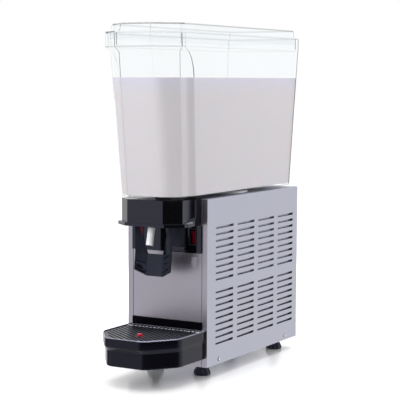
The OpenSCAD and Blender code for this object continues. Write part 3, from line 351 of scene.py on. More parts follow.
def rod(name, start, end, radius, sides=48):
    letGo()
    bpy.ops.mesh.primitive_cylinder_add(vertices=sides, radius=radius, depth=(end - start).length,
                                        location=(start + end) / 2)
    piece = bpy.context.object
    piece.name = name
    piece.rotation_euler = (end - start).to_track_quat("Z", "Y").to_euler()
    settle(piece)
    return piece


def post(name, y, low, high, radius, sides=48):  # an upright rod in the middle plane, in millimetres
    return rod(name, at(0, y, low), at(0, y, high), radius * mm, sides)


def slab(name, low, high):
    letGo()
    bpy.ops.mesh.primitive_cube_add(size=1, location=(low + high) / 2)
    piece = bpy.context.object
    piece.name = name
    piece.scale = high - low
    settle(piece)
    return piece


def modify(piece, kind, **settings):
    hold(piece)
    added = piece.modifiers.new(kind.lower(), kind)
    for key, value in settings.items():
        setattr(added, key, value)
    bpy.ops.object.modifier_apply(modifier=added.name)


def roundEdges(piece, width, angle=35):
    modify(piece, "BEVEL", width=width * mm, segments=2, limit_method="ANGLE",
           angle_limit=math.radians(angle), miter_outer="MITER_ARC")


def markLines(piece, rings, strips, bands, lines):  # painted refraction: narrow faces at the clear walls' edges get a dark share
    count = len(rings[0])
    points = [point for ring in rings for point in ring]
    tree = kdtree.KDTree(len(points))
    for i, point in enumerate(points):
        tree.insert(point, i)
    tree.balance()
    narrow = set(strips) | {count - 2 - j for j in strips}

    def marked(near):  # between two rings or two columns that stand close together
        rows, columns = {i // count for _, i, _ in near}, {i % count for _, i, _ in near}
        if max(gap for _, _, gap in near) >= 10 * touching or len(rows) != 2 or len(columns) != 2:
            return False
        return min(rows) in bands or min(columns) in narrow and max(columns) == min(columns) + 1

    def inside(place, box):
        return all(low < part < high for part, (low, high) in zip(place, box))

    mark = piece.data.attributes.new("refractionLine", "FLOAT", "FACE")
    for face, value in zip(piece.data.polygons, mark.data):
        if marked([tree.find(piece.data.vertices[v].co) for v in face.vertices]):
            place = face.center / mm - Vector((0, frontY, 0))
            value.value = next(share for *box, share in lines if inside(place, box))


def cutAway(piece, *tools):
    for tool in tools:
        modify(piece, "BOOLEAN", operation="DIFFERENCE", solver="EXACT", object=tool)
        bpy.data.objects.remove(tool)


def smooth(piece, angle=35):  # large faces keep their own direction, so their edges stay crisp
    hold(piece)
    bpy.ops.object.shade_smooth_by_angle(angle=math.radians(angle))
    modify(piece, "WEIGHTED_NORMAL", keep_sharp=True, weight=80)


def copyOf(piece, name):
    letGo()
    made = piece.copy()
    made.data = piece.data.copy()
    made.name = name
    bpy.context.scene.collection.objects.link(made)
    return made


def joined(name, parts):
    letGo()
    for part in parts:
        part.select_set(True)
    bpy.context.view_layer.objects.active = parts[0]
    bpy.ops.object.join()
    parts[0].name = name
    settle(parts[0])
    return parts[0]


def fit(piece, slot, body, replaces=(), look=None):
    settle(piece)
    piece.data.materials.clear()
    piece.data.materials.append(looks[look] if look else finishes[slot])
    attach(piece, body)
    if replaces:
        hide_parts(*replaces)


def merged(node):  # a copy of a solid with its doubled points merged and its flat faces whole
    piece = copyOf(nodes[node], node + "Eased")
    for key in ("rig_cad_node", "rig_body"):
        if key in piece:
            del piece[key]
    piece.parent = None
    edit(piece)
    bpy.ops.mesh.select_all(action="SELECT")
    bpy.ops.mesh.remove_doubles(threshold=touching)
    bpy.ops.mesh.dissolve_limited(angle_limit=math.radians(1))
    bpy.ops.object.mode_set(mode="OBJECT")
    return piece


def softened(node, width, look=None, grooves=()):
    piece = merged(node)
    roundEdges(piece, width)
    cutAway(piece, *grooves)
    smooth(piece)
    fit(piece, slotOf[node], bodyOf[node], [node], look)


print("modelling helpers ready")

everywhere = ((-999, 999), (-999, 999), (-999, 999))
tankShape = {
    "floorZ": 356, "archZ": 585, "archSteps": (596, 606, 614, 621, 627),
    "shoulderZ": 632, "rimZ": 641, "topZ": 668,
    "floorHalf": 76, "rimHalf": 85.5, "neckIn": 0.5,
    "noseFloor": 82.6, "noseTop": 116.8, "rimOut": 128.5, "rimBack": 1, "rimDraft": 1.5,
    "faceFloorHalf": 39, "faceTopHalf": 36, "rimFaceHalf": 39,
    "cornerBack": (25.1, 33.1, 39.5), "rimCornerIn": 0.4,
    "gripIn": 7.8, "gripLength": 38, "leastGrip": 0.3,
    "gripSteps": ((0.5, 0), (0.66, 0.24), (0.82, 0.64), (0.945, 0.94), (1.0, 1.0)),
    "rearFloor": 386, "rearTop": 404, "rearRim": 406,
    "wall": 4, "bottom": 4, "footEdge": 2, "rimEdge": (1.8, 1.6), "rimWall": 4.5, "rimLedge": 4,
    "crease": (1.2, 1.2), "corner": (1.2, 1.2), "tail": ((0, 8), (0, 4), (4, 0)),
    "holeZ": (350, 366), "domeY": 190, "domeRadius": 58, "outletY": -17, "outletRadius": 11.2, "domeSides": 96,
    "strips": (0, 2, 7, 9),
    "lines": (  # how dark the painted refraction lines look: a box in X, Y and Z, and a share
        ((-99, 99), (-200, 500), (350, 359), 0.3),
        ((-99, 99), (-200, -60), (640, 644), 0.32), ((-99, 99), (-60, 500), (640, 644), 0.08),
        ((60, 99), (-200, 500), (665, 670), 0.2), ((-99, 60), (-200, 500), (665, 670), 0.14),
        ((-50, -25), (-200, -60), (642, 667), 0.8), ((-50, -25), (-200, -60), (585, 642), 0.65),
        ((-50, -25), (-200, -60), (359, 585), 0.16), ((25, 50), (-200, -60), (359, 667), 0.03),
        ((83, 99), (-200, -60), (642, 667), 0.9), ((60, 83), (-200, -60), (642, 667), 0.1),
        ((81, 99), (-100, 0), (585, 642), 0.95), ((60, 81), (-200, 0), (585, 642), 0.4),
        ((60, 99), (-200, -50), (359, 585), 0.04), ((60, 99), (-50, 0), (359, 585), 0.12),
        ((60, 99), (350, 500), (359, 667), 0.6),
        ((-99, -60), (-200, -50), (359, 667), 0.8), ((-99, -60), (350, 500), (359, 667), 0.13),
        (*everywhere, 0.2)),
}


def blend(a, b, t):
    return a + (b - a) * t


def wholeRing(half):
    return half + [(-x, y) for x, y in reversed(half)]


def level(ring, z):
    return [at(x, y, z) for x, y in ring]


def outline(corners, s, df=0.0, dk=None, ds=None):  # set in by df in front, dk at the slants and ds at the sides
    crease, corner, side, rear, grip = corners
    dk = df if dk is None else dk
    ds = df if ds is None else ds
    run = (Vector(corner) - Vector(crease)).normalized()
    a = Vector((crease[0] + (run.x * df - dk) / run.y, crease[1] + df))
    b = Vector((corner[0] - ds, corner[1] + (dk - run.y * ds) / run.x))
    half = [a - Vector((s["crease"][0], 0)), a + run * s["crease"][1]]
    half += [b - run * s["corner"][0], b + Vector((0, s["corner"][1]))]
    reach = s["gripLength"] * max(grip, s["leastGrip"])
    half += [Vector((blend(b.x, side - ds, ramp), b.y + reach * t)) for t, ramp in s["gripSteps"]]
    half += [Vector((side - ds - x, rear - ds - y)) for x, y in s["tail"]]
    return wholeRing([tuple(p) for p in half])


def ownBends(s, d):  # the tank's outline with the bends of a piece that follows it
    return {**s, **{key: d[key] for key in ("crease", "corner", "tail")}}


def noseCorners(z, s):
    u = (z - s["floorZ"]) / (s["shoulderZ"] - s["floorZ"])
    side = blend(s["floorHalf"], s["rimHalf"] - s["neckIn"], u)
    out = blend(s["noseFloor"], s["noseTop"], u)
    rise = max(0, (z - s["archZ"]) / (s["rimZ"] - s["archZ"]))
    crease = (blend(s["faceFloorHalf"], s["faceTopHalf"], u), -out)
    corner = (side - s["gripIn"], -out + blend(s["cornerBack"][0], s["cornerBack"][1], u))
    return crease, corner, side, blend(s["rearFloor"], s["rearTop"], u), math.sqrt(max(0, 1 - rise * rise))


def rimCorners(z, s):
    u = (z - s["rimZ"]) / (s["topZ"] - s["rimZ"])
    half, out = s["rimHalf"], s["rimOut"] + s["rimDraft"] * u
    crease = (s["rimFaceHalf"], s["rimBack"] - out)
    corner = (half - s["rimCornerIn"], s["cornerBack"][2] - out)
    return crease, corner, half, s["rearRim"] - s["rimBack"] * (1 - u), 0


def buildTank(s):
    def nose(z, inset=0.0):
        return level(outline(noseCorners(z, s), s, inset), z)

    def rim(z, inset=0.0):
        return level(outline(rimCorners(z, s), s, inset), z)

    low, rimLow, top = s["floorZ"], s["rimZ"], s["topZ"]
    heights = [s["archZ"], *s["archSteps"], s["shoulderZ"]]
    outer = [nose(low), nose(low + s["footEdge"])] + [nose(z) for z in heights]
    outer += [rim(rimLow), rim(rimLow + s["rimEdge"][0]), rim(top - s["rimEdge"][1]), rim(top)]
    innerRim = [rim(top, s["rimWall"]), rim(rimLow + s["rimLedge"], s["rimWall"])]
    inner = [nose(z, s["wall"]) for z in reversed(heights)] + [nose(low + s["bottom"], s["wall"])]
    piece = ringBody("tankShell", outer + innerRim + inner)
    cutAway(piece,
            post("domeHole", s["domeY"], *s["holeZ"], s["domeRadius"], s["domeSides"]),
            post("outletHole", s["outletY"], *s["holeZ"], s["outletRadius"]))
    bands = (0, len(outer) - 4, len(outer) - 2)  # the foot's edge and both edges of the rim
    markLines(piece, outer + innerRim, s["strips"], bands, s["lines"])
    smooth(piece)
    fit(piece, "clear_plastic", "tank", ["tank"])


drinkShape = {
    "gap": 1.2,  # seen through the wall, the drink reaches nearly to its outer face
    "topZ": 585, "surface": ((0.6, 0), (0, 0.3), (0.5, 1.2), (0.9, 3)),  # drops and insets towards the middle
    "crease": (0.5, 20),  # shades softly into the slants
    "corner": (1.2, 1.2), "tail": ((0, 4), (0, 1.2), (1.2, 0)),
    "roomZ": 350, "domeRadius": 59, "domeTop": 549, "outletRadius": 14.4, "outletTop": 362.4, "smoothAngle": 45,
}


def buildDrink(s, d):
    soft = ownBends(s, d)

    def ring(z, inset):
        return level(outline(noseCorners(z, s), soft, inset), z)

    rings = [ring(s["floorZ"] + s["bottom"], d["gap"])]
    rings += [ring(d["topZ"] - drop, d["gap"] + more) for drop, more in d["surface"]]
    body = ringBody("drinkBody", rings)
    cutAway(body,
            post("domeRoom", s["domeY"], d["roomZ"], d["domeTop"], d["domeRadius"], s["domeSides"]),
            post("outletRoom", s["outletY"], d["roomZ"], d["outletTop"], d["outletRadius"]))
    smooth(body, d["smoothAngle"])
    fit(body, "drink", "tank", ["drink"])


lidShape = {
    "rise": 18, "shoulder": 2.5, "skirtDrop": 12, "skirtIn": 5.2, "flangeIn": 1.0, "wall": 2.5,
    "foot": (10, 11, 7), "brow": (13, 14, 8), "crown": (16, 17, 9.6), "browDrop": 3, "innerDrop": 2,
    # how dark the painted refraction lines look: a box in X, Y and Z, and a share
    "lines": (
        ((-45, 45), (-200, -60), (681, 690), 0.55), ((45, 99), (-200, -60), (681, 690), 0.7),
        ((-99, -45), (-200, -60), (681, 690), 0.5), ((60, 99), (-60, 360), (681, 690), 0.38),
        ((60, 99), (360, 500), (672, 690), 0.3), ((-50, -20), (-200, -60), (669, 683), 0.45),
        ((-99, -50), (-200, -50), (669, 683), 0.7), ((45, 99), (-200, -50), (669, 683), 0.1),
        ((-99, 99), (-200, 500), (667, 671), 0.06), (*everywhere, 0.18)),
}


def buildLid(s, d):
    base = rimCorners(s["topZ"], s)
    low, high = s["topZ"], s["topZ"] + d["rise"]
    step, skirt, w = low + d["shoulder"], low - d["skirtDrop"], d["wall"]

    def ring(inset, z):
        return level(outline(base, s, inset), z)

    def raised(sizes, more, z):
        return level(outline(base, s, *(size + more for size in sizes)), z)

    inner = [raised(d["crown"], w, high - w), raised(d["brow"], w, high - w - d["innerDrop"]),
             raised(d["foot"], w, step),
             ring(d["skirtIn"] + w, low - d["innerDrop"]), ring(d["skirtIn"] + w, skirt)]
    skirtRings = [ring(d["skirtIn"], skirt), ring(d["skirtIn"], low)]
    outer = [ring(d["flangeIn"], low), ring(d["flangeIn"], step), raised(d["foot"], 0, step),
             raised(d["brow"], 0, high - d["browDrop"]), raised(d["crown"], 0, high)]
    piece = ringBody("lidShell", inner + skirtRings + outer)
    markLines(piece, outer, s["strips"], (0, len(outer) - 2), d["lines"])
    smooth(piece)
    fit(piece, "clear_plastic", "lid", ["lid"])


buildTank(tankShape)
buildDrink(tankShape, drinkShape)
buildLid(tankShape, lidShape)
print("tank, drink and lid made")

coverShape = {
    "lowZ": 302, "topZ": 353, "archZ": 320, "archRise": 15, "archSteps": (6.5, 7.5, 9, 11.5, 14.5),
    "frontIn": 0.2, "creaseOut": 0.6, "cornerBack": 24.9,
    "crease": (0.7, 0.7), "corner": (0.7, 0.7), "tail": ((0, 0),),
    "flange": 6.2, "flangeOut": 4.4, "flangeRun": ((1, -0.6), (1.5, -0.7)),  # moves the crease and the corner
    "wall": 3, "hollowBack": 12, "hollowPast": 2, "edge": 0.8, "edgeAngle": 24,
    "outlet": (-6, 4, 16),  # from and to, over the top, and its radius
}


def coverRing(grip, out, depth, s, c, inset=0.0):
    side, front = s["floorHalf"], s["noseFloor"] - c["frontIn"]
    (creaseX, creaseY), (cornerX, cornerY) = c["flangeRun"]
    crease = (s["faceFloorHalf"] + c["creaseOut"] + creaseX * out, -front + creaseY * out)
    corner = (side - s["gripIn"] + cornerX * out, -front + c["cornerBack"] + cornerY * out)
    return outline((crease, corner, side, depth, grip), ownBends(s, c), inset)


def buildCover(s, c):
    low, top = c["lowZ"], c["topZ"]

    def ring(z, grip, out=0.0):
        return level(coverRing(grip, out, 0, s, c), z)

    def arch(z):
        return math.sqrt(max(0, 1 - ((c["archZ"] - z) / c["archRise"]) ** 2))

    rings = [ring(low, 0, c["flangeOut"]), ring(low + c["flange"], 0, c["flangeOut"])]
    rings += [ring(low + up, arch(low + up)) for up in c["archSteps"]]
    rings += [ring(c["archZ"], 1), ring(top, 1)]
    piece = ringBody("coverShell", rings)
    hollow = coverRing(1, 0, c["hollowBack"], s, c, c["wall"])
    under, over, radius = c["outlet"]
    cutAway(piece,
            ringBody("coverHollow", [level(hollow, z) for z in (low - c["hollowPast"], top - c["wall"])]),
            post("outletWay", s["outletY"], top + under, top + over, radius))
    roundEdges(piece, c["edge"], c["edgeAngle"])
    smooth(piece)
    fit(piece, "black_gloss", "cabinet", ["front_cover"])


buildCover(tankShape, coverShape)
print("cover made")

leverShape = {
    "foot": (0, -49.9, 203.4), "tilt": -8.1, "turn": -25, "middle": 17, "edge": 0.6,
    "grooves": ((22, 42.5, 3, 35.5), (22, 27.9, 3, 24.4), (22, 17.1, 3, 8.8)),  # both ends, along and up the wing
    "grooveHeight": 1.9, "grooveDepth": 3.4,
}


def buildLever(v):
    wing = (Matrix.Translation(at(*v["foot"])) @ Matrix.Rotation(math.radians(v["tilt"]), 4, "X")
            @ Matrix.Translation((v["middle"] * mm, 0, 0)) @ Matrix.Rotation(math.radians(v["turn"]), 4, "Z"))
    tools = []
    for u0, w0, u1, w1 in v["grooves"]:
        run = Vector((u1 - u0, w1 - w0))
        middle = Matrix.Translation(Vector(((u0 + u1) / 2, 0, (w0 + w1) / 2)) * mm)
        slant = Matrix.Rotation(-math.atan2(run.y, run.x), 4, "Y")
        half = Vector((run.length / 2, v["grooveDepth"], v["grooveHeight"] / 2)) * mm
        for side in (1, -1):
            tool = slab("groove", -half, half)
            tool.matrix_world = Matrix.Diagonal((side, 1, 1, 1)) @ wing @ middle @ slant
            settle(tool)
            faceOut(tool)
            tools.append(tool)
    softened("tap_lever", v["edge"], "leverGrain", tools)


buildLever(leverShape)
print("lever made")

springShape = {"y": -17, "fixedZ": 332, "stroke": 5.6, "smoothAngle": 60}


def buildSpring(s):  # a smoothed copy of the valve spring, with a mesh of its own
    piece = merged("valve_spring")
    smooth(piece, s["smoothAngle"])
    fit(piece, slotOf["valve_spring"], bodyOf["valve_spring"], ["valve_spring"])
    fixed = at(0, s["y"], s["fixedZ"])
    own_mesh(piece)


buildSpring(springShape)
print("valve spring made")

panelShape = {
    "seam": (77.7, 79.6), "seamDepth": 1.15, "seamZ": (20, 356), "edge": 0.25, "past": 1,
    "lipZ": (251.6, 252.8), "lipDepth": 0.9, "switchFace": -4, "switchHalf": 78.5, "switchEdge": 0.5,
}


def buildPanels(p):
    (near, far), (low, high), past = p["seam"], p["seamZ"], p["past"]
    seams = [slab("seam", at(first, -past, low), at(last, p["seamDepth"], high))
             for first, last in ((near, far), (-far, -near))]
    softened("front_panel", p["edge"], "shadedFrontSheet", seams)
    (low, high), face, half = p["lipZ"], p["switchFace"], p["switchHalf"] + past
    lip = slab("lip", at(-half, face - past, low), at(half, face + p["lipDepth"], high))
    softened("switch_panel", p["switchEdge"], None, [lip])


buildPanels(panelShape)
easedEdges = {  # width of the eased edge, and the look where it isn't the plain finish
    "label_strip": (0.8, "stripGloss"), "notice_plate": (0.15, "noticeFoil"), "switch_bodies": (0.4, None),
    "left_rocker": (0.6, "shadedRockerRed"), "right_rocker": (0.6, "shadedRockerRed"), "blank_plate": (1.0, "leverGrain"),
    "spout": (0.6, None), "float_marker": (1.2, None),
    "thermostat_knob": (0.8, None), "cable_gland": (0.6, None),
}
for node, (width, look) in easedEdges.items():
    softened(node, width, look)
print("panels and eased pieces:", len(easedEdges) + 2)

footShape = {
    "places": ((54, 45), (54, 358), (-54, 45), (-54, 358)), "radius": 17, "steps": 96, "smoothAngle": 50,
    "lobes": 8, "lobeDepth": 2.6, "lobePower": 3, "lobeRise": (1, 3), "lobeNeck": 0.5,
    "bore": 4.05, "boreZ": (6, 30),
    "profile": (  # heights, and shares of the radius
        (0, 0.96), (0.6, 0.99), (1.5, 1.0), (5, 1.0), (8, 0.95), (11, 0.86),
        (14, 0.74), (17, 0.59), (19.5, 0.45), (21, 0.4), (25, 0.4)),
}


def turned(steps):
    return [2 * math.pi * i / steps for i in range(steps)]


def buildFeet(f):
    (start, full), neck = f["lobeRise"], f["lobeNeck"]

    def ring(z, share):  # the lobes fade towards the floor and the neck
        depth = f["lobeDepth"] * min(1, max(0, (z - start) / (full - start))) * max(0, (share - neck) / (1 - neck))
        points = []
        for turn in turned(f["steps"]):
            wave = (0.5 + 0.5 * math.cos(f["lobes"] * turn)) ** f["lobePower"]
            reach = f["radius"] * share - depth * wave
            points.append(Vector((math.cos(turn) * reach, math.sin(turn) * reach, z)) * mm)
        return points

    first = ringBody("foot", [ring(z, share) for z, share in f["profile"]])
    cutAway(first, rod("bore", *(Vector((0, 0, z)) * mm for z in f["boreZ"]), f["bore"] * mm))
    feet = [first] + [copyOf(first, "foot") for _ in f["places"][1:]]
    for foot, (x, y) in zip(feet, f["places"]):
        foot.location = at(x, y, 0)
    piece = joined("footSet", feet)
    smooth(piece, f["smoothAngle"])
    fit(piece, slotOf["feet"], bodyOf["feet"], ["feet"])


buildFeet(footShape)
print("feet made")

screwShape = {
    "places": (  # X, Y, and the way out of the panel
        (90, 48, 1, 0), (90, 338, 1, 0), (-90, 48, -1, 0), (-90, 338, -1, 0), (60, 394, 0, 1), (-60, 394, 0, 1)),
    "z": 34.5, "steps": 40,
    "profile": ((2, -6.4), (2, 0.3), (3.1, 0.3), (3.1, 1.05), (2.7, 1.4), (1, 1.4)),  # radius, and height
    "recess": (3.2, 0.8), "recessZ": (0.5, 2), "shadeWasher": (4, 0.35), "smoothAngle": 30,
}


def buildScrews(c):
    def ring(radius, z):
        return [Vector((math.cos(turn) * radius, math.sin(turn) * radius, z)) * mm
                for turn in turned(c["steps"])]

    def spread(first, name):
        copies = [first] + [copyOf(first, name) for _ in c["places"][1:]]
        for copy, (x, y, outX, outY) in zip(copies, c["places"]):
            copy.location = at(x, y, c["z"])
            copy.rotation_euler = Vector((outX, outY, 0)).to_track_quat("Z", "Y").to_euler()
        piece = joined(name, copies)
        smooth(piece, c["smoothAngle"])
        return piece

    screw = ringBody("screw", [ring(*row) for row in c["profile"]])
    (length, width), (low, high) = c["recess"], c["recessZ"]
    for x, y in ((length, width), (width, length)):
        cutAway(screw, slab("recess", Vector((-x / 2, -y / 2, low)) * mm, Vector((x / 2, y / 2, high)) * mm))
    screws = spread(screw, "screwSet")
    fit(screws, slotOf["panel_screws"], bodyOf["panel_screws"], ["panel_screws"], "highlitScrewSteel")
    # painted shade: a black washer under each head stands in for the dark crescent of shade at its edge
    radius, thick = c["shadeWasher"]
    shadeWasher = rod("shadeWasher", Vector((0, 0, 0)), Vector((0, 0, thick)) * mm, radius * mm, c["steps"])
    fit(spread(shadeWasher, "shadeWasherSet"), "black_rubber", bodyOf["panel_screws"])


buildScrews(screwShape)
print("screws made")

trayShape = {
    "halfWidth": 86.5, "out": 157.5, "shoulder": 98, "faceHalf": 42, "back": -0.4, "smoothAngle": 40,
    "frontRadius": 27, "sideRadius": 34, "leastRadius": (1, 4), "arcSteps": (8, 14),
    "body": (8, 4.4, 1.6), "lowZ": 41, "topZ": 97.5, "stepZ": (72.5, 79.6), "wall": 2.5,
    "footRound": ((2.4, 0), (1, 0.6), (0.3, 1.7), (0, 3)),  # insets, and heights over the lowest edge
    "stepBody": ((0, -1), (-0.4, 0)), "stepBand": ((0.6, -0.6), (0, 0.6)),
    "rimRound": ((0, -1.9), (0.2, -1.7), (1.7, -0.2), (1.9, 0), (2.5, -0.5)),
    "ledge": (92.5, -4), "basin": ((1, 92.5, -14), (1, 48, -14), (3, 45, -16)),  # past the wall, height and back
    "pinX": 50, "pinY": (-11, 2), "pinZ": 66, "pinRadius": 4.3,
}


def arc(corner, toLast, toNext, radius, steps):
    half = math.acos(toLast.dot(toNext)) / 2
    centre = corner + (toLast + toNext).normalized() * radius / math.sin(half)
    start = corner + toLast * radius / math.tan(half) - centre
    sweep = start.angle_signed(corner + toNext * radius / math.tan(half) - centre)
    points = []
    for i in range(steps + 1):
        spoke = start.copy()
        spoke.rotate(Matrix.Rotation(-sweep * i / steps, 2))
        points.append(tuple(centre + spoke))
    return points


def trayRing(t, sizes, back):
    df, dk, ds = sizes
    run = Vector((t["halfWidth"] - t["faceHalf"], t["out"] - t["shoulder"])).normalized()
    p = Vector((t["faceHalf"], -t["out"])) + Vector((-run.y, run.x)) * dk
    y, x = df - t["out"], t["halfWidth"] - ds
    front = Vector((p.x + (y - p.y) * run.x / run.y, y))
    side = Vector((x, p.y + (x - p.x) * run.y / run.x))
    (leastFront, leastSide), (frontSteps, sideSteps) = t["leastRadius"], t["arcSteps"]
    half = arc(front, Vector((-1, 0)), run, max(t["frontRadius"] - dk, leastFront), frontSteps)
    half += arc(side, -run, Vector((0, 1)), max(t["sideRadius"] - dk, leastSide), sideSteps)
    return wholeRing(half + [(x, back)])


def buildTray(t):
    def body(more, z, back=t["back"]):
        return level(trayRing(t, [size + more for size in t["body"]], back), z)

    def band(more, z, back=t["back"]):
        return level(trayRing(t, [more] * 3, back), z)

    stepLow, stepHigh = t["stepZ"]
    ledgeZ, ledgeBack = t["ledge"]
    rings = [body(more, t["lowZ"] + up) for more, up in t["footRound"]]
    rings += [body(more, stepLow + up) for more, up in t["stepBody"]]
    rings += [band(more, stepHigh + up) for more, up in t["stepBand"]]
    rings += [band(more, t["topZ"] + up) for more, up in t["rimRound"]]
    rings += [band(t["wall"], ledgeZ, ledgeBack)]
    rings += [body(t["wall"] + more, z, back) for more, z, back in t["basin"]]
    piece = ringBody("trayShell", rings)
    for x in (-t["pinX"], t["pinX"]):
        cutAway(piece, rod("pinHole", *(at(x, y, t["pinZ"]) for y in t["pinY"]), t["pinRadius"] * mm))
    smooth(piece, t["smoothAngle"])
    fit(piece, "black_gloss", "drip_tray", ["drip_tray"], "trayGloss")


gridShape = {
    "inset": 3.0, "back": -4.5, "lowZ": 92.5, "topZ": 95.5, "edge": 0.5, "past": 1,
    "turn": -35, "middle": (0, -75), "step": 9, "slit": 4, "slitRows": 12, "slitHalf": 150, "slitZ": (-1.5, 6),
    "field": 9.5, "fieldBack": -20, "floatY": -100, "floatHole": 5.4, "floatSides": 32, "ring": 10, "ringPast": 5,
    "holeY": (-15.4, -8.6), "holeStep": 8.6, "holeHalf": 2.3, "holeRows": 8,
}


def buildGrid(t, g):
    low, top, past = g["lowZ"], g["topZ"], g["past"]

    def ring(inset, back, z):
        return level(trayRing(t, [inset] * 3, back), z)

    def rows(count, step):
        return [i * step for i in range(-count, count + 1)]

    plate = ringBody("gridPlate", [
        ring(g["inset"], g["back"], low), ring(g["inset"], g["back"], top - g["edge"]),
        ring(g["inset"] + g["edge"], g["back"] - g["edge"], top)])
    slits = []
    reach, half, (under, deep) = g["slitHalf"], g["slit"] / 2, g["slitZ"]
    for y in rows(g["slitRows"], g["step"]):
        slit = slab("slit", Vector((-reach, y - half, 0)) * mm, Vector((reach, y + half, deep)) * mm)
        slit.rotation_euler = (0, 0, math.radians(g["turn"]))
        slit.location = at(*g["middle"], low + under)
        settle(slit)
        slits.append(slit)
    slits = joined("slits", slits)
    field = ringBody("slitField", [ring(g["field"], g["fieldBack"], z) for z in (low - past, top + past)])
    modify(slits, "BOOLEAN", operation="INTERSECT", solver="EXACT", object=field)
    bpy.data.objects.remove(field)
    cutAway(slits, post("ring", g["floatY"], low - g["ringPast"], top + g["ringPast"], g["ring"]))
    (near, far), half = g["holeY"], g["holeHalf"]
    holes = [slab("hole", at(x - half, near, low - past), at(x + half, far, top + past))
             for x in rows(g["holeRows"], g["holeStep"])]
    holes.append(post("floatWay", g["floatY"], low - past, top + past, g["floatHole"], g["floatSides"]))
    cutAway(plate, slits, joined("holes", holes))
    smooth(plate)
    fit(plate, slotOf["drip_grid"], bodyOf["drip_grid"], ["drip_grid"], "gridGrain")


buildTray(trayShape)
buildGrid(trayShape, gridShape)
print("tray and grid made")

slotShape = {
    "length": 71, "height": 5, "firstY": 34, "firstZ": 67,
    "columns": 4, "columnStep": 89, "rows": 19, "rowStep": 12.66, "skipRow": 9,
    "panelX": 90, "depth": (1.0, 0.1), "lap": (0.2, 0.1), "smoothAngle": 40,
    "frontCover": 1.6, "rearCover": 0.3, "openEnd": 4.5, "fold": (1.6, 0.9),
    "baffle": (5.5, 6.3), "bafflePast": (1, 13, 2, 1.5),  # in front, behind, below and above
}


def buildTongues(s):  # the strip left along the top of each slot, narrower to the rear, and a baffle behind
    x, top = s["panelX"], s["firstZ"] + s["height"] / 2
    (inner, outer), (frontLap, topLap) = s["depth"], s["lap"]
    y0, y1 = s["firstY"] - frontLap, s["firstY"] + s["length"] - s["openEnd"]
    first = slab("slotTongue", at(x - inner, y0, top - s["frontCover"]), at(x - outer, y1, top + topLap))
    mesh = edit(first)
    middle = at(x, (y0 + y1) / 2, top - s["frontCover"] / 2)
    bpy.ops.mesh.select_mode(type="VERT")
    for corner in mesh.verts:  # the lower rear corners
        corner.select = corner.co.z < middle.z and corner.co.y > middle.y
    mesh.select_flush_mode()
    bpy.ops.transform.translate(value=(0, 0, (s["frontCover"] - s["rearCover"]) * mm))
    bpy.ops.mesh.select_mode(type="FACE")
    for face in mesh.faces:
        face.select = face.normal.z < -0.9
    foldIn, foldDown = s["fold"]
    bpy.ops.mesh.extrude_region_move(TRANSFORM_OT_translate={"value": (-foldIn * mm, 0, -foldDown * mm)})
    bpy.ops.object.mode_set(mode="OBJECT")
    (near, far), (ahead, behind, below, above) = s["baffle"], s["bafflePast"]
    baffle = slab("slotBaffle", at(x - far, y0 - ahead, top - s["height"] - below),
                  at(x - near, s["firstY"] + s["length"] + behind, top + above))
    first = joined("slotTongue", [first, baffle])
    copies = [first]
    for c in range(s["columns"]):
        for r in range(s["rows"]):
            if r != s["skipRow"] and (c or r):
                another = copyOf(first, "slotTongue")
                another.location = (0, c * s["columnStep"] * mm, r * s["rowStep"] * mm)
                copies.append(another)
    right = joined("rightTongues", copies)
    left = copyOf(right, "leftTongues")
    left.scale = (-1, 1, 1)
    settle(left)
    faceOut(left)
    for piece in (right, left):
        smooth(piece, s["smoothAngle"])
        fit(piece, "steel", "cabinet")


buildTongues(slotShape)
print("slot tongues made")

stageLook = {
    "floorSize": 60, "floorDrop": 0.5,
    "floorTint": (0.42, 0.43), "floorGloss": (0.16, 0.2), "floorMirror": 0.7, "bounce": 0.35,
    "floorGlow": (0.6, 1.25), "glowFrom": (0.35, 1.0), "farGlow": 0.46, "glowTo": (1.1, 1.8),
    "nearShade": 0.12, "shadeSamples": 12,
    "darkFrom": (0.77, -0.64, 0.0), "darkRim": (0.35, 0.72), "darkBand": ((-0.38, -0.2), (0.08, 0.2)),
    "gapFrom": (-0.975, -0.172, 0.14), "gapRim": (0.88, 0.96),
    "glossy": (0.88, 0.03), "diffuse": (0.38, 0.03),  # the studio's light and its dark side, mirrored and spread
}


def buildFloor(look):
    letGo()
    bpy.ops.mesh.primitive_plane_add(size=look["floorSize"], location=(0, 0, -look["floorDrop"] * mm))
    floor = bpy.context.object
    floor.name = "studioFloor"
    paint = Paint("studioFloor")
    grain = paint.noise(3.0)

    def grey(value):
        return (value, value, value, 1)

    plain = paint.tint(grain, *(grey(value) for value in look["floorTint"]))
    plain = paint.tint(paint.ray("diffuse"), plain, grey(look["bounce"]))  # less comes back than is seen
    paint.set(Base_Color=plain, Specular_IOR_Level=look["floorMirror"])
    paint.set(Roughness=paint.rough(grain, *look["floorGloss"]))
    away = paint.node("ShaderNodeVectorMath", {"operation": "LENGTH"}, {0: paint.where()}, out=1)
    # painted shade: the floor's glow dims by ambient occlusion near the object
    unhidden = paint.node("ShaderNodeAmbientOcclusion", {"samples": look["shadeSamples"]},
                          {"Distance": look["nearShade"]}, out=1)
    bright = paint.between(away, *look["floorGlow"], *look["glowFrom"], "SMOOTHSTEP")
    bright = bright * paint.between(away, 1.0, look["farGlow"], *look["glowTo"], "SMOOTHSTEP")
    bright = bright * unhidden * (paint.ray("camera") | paint.ray("through"))
    white = paint.node("ShaderNodeCombineXYZ", {}, {0: bright, 1: bright, 2: bright})
    glow = paint.node("ShaderNodeEmission", {}, {"Color": white})
    lit = paint.node("ShaderNodeAddShader", {}, {0: paint.surface, 1: glow})
    past = paint.node("ShaderNodeBsdfTransparent", {}, {})
    paint.show(paint.mixed(paint.ray("glossy"), lit, past))  # reflections look past the floor to the studio
    floor.data.materials.append(paint.material)


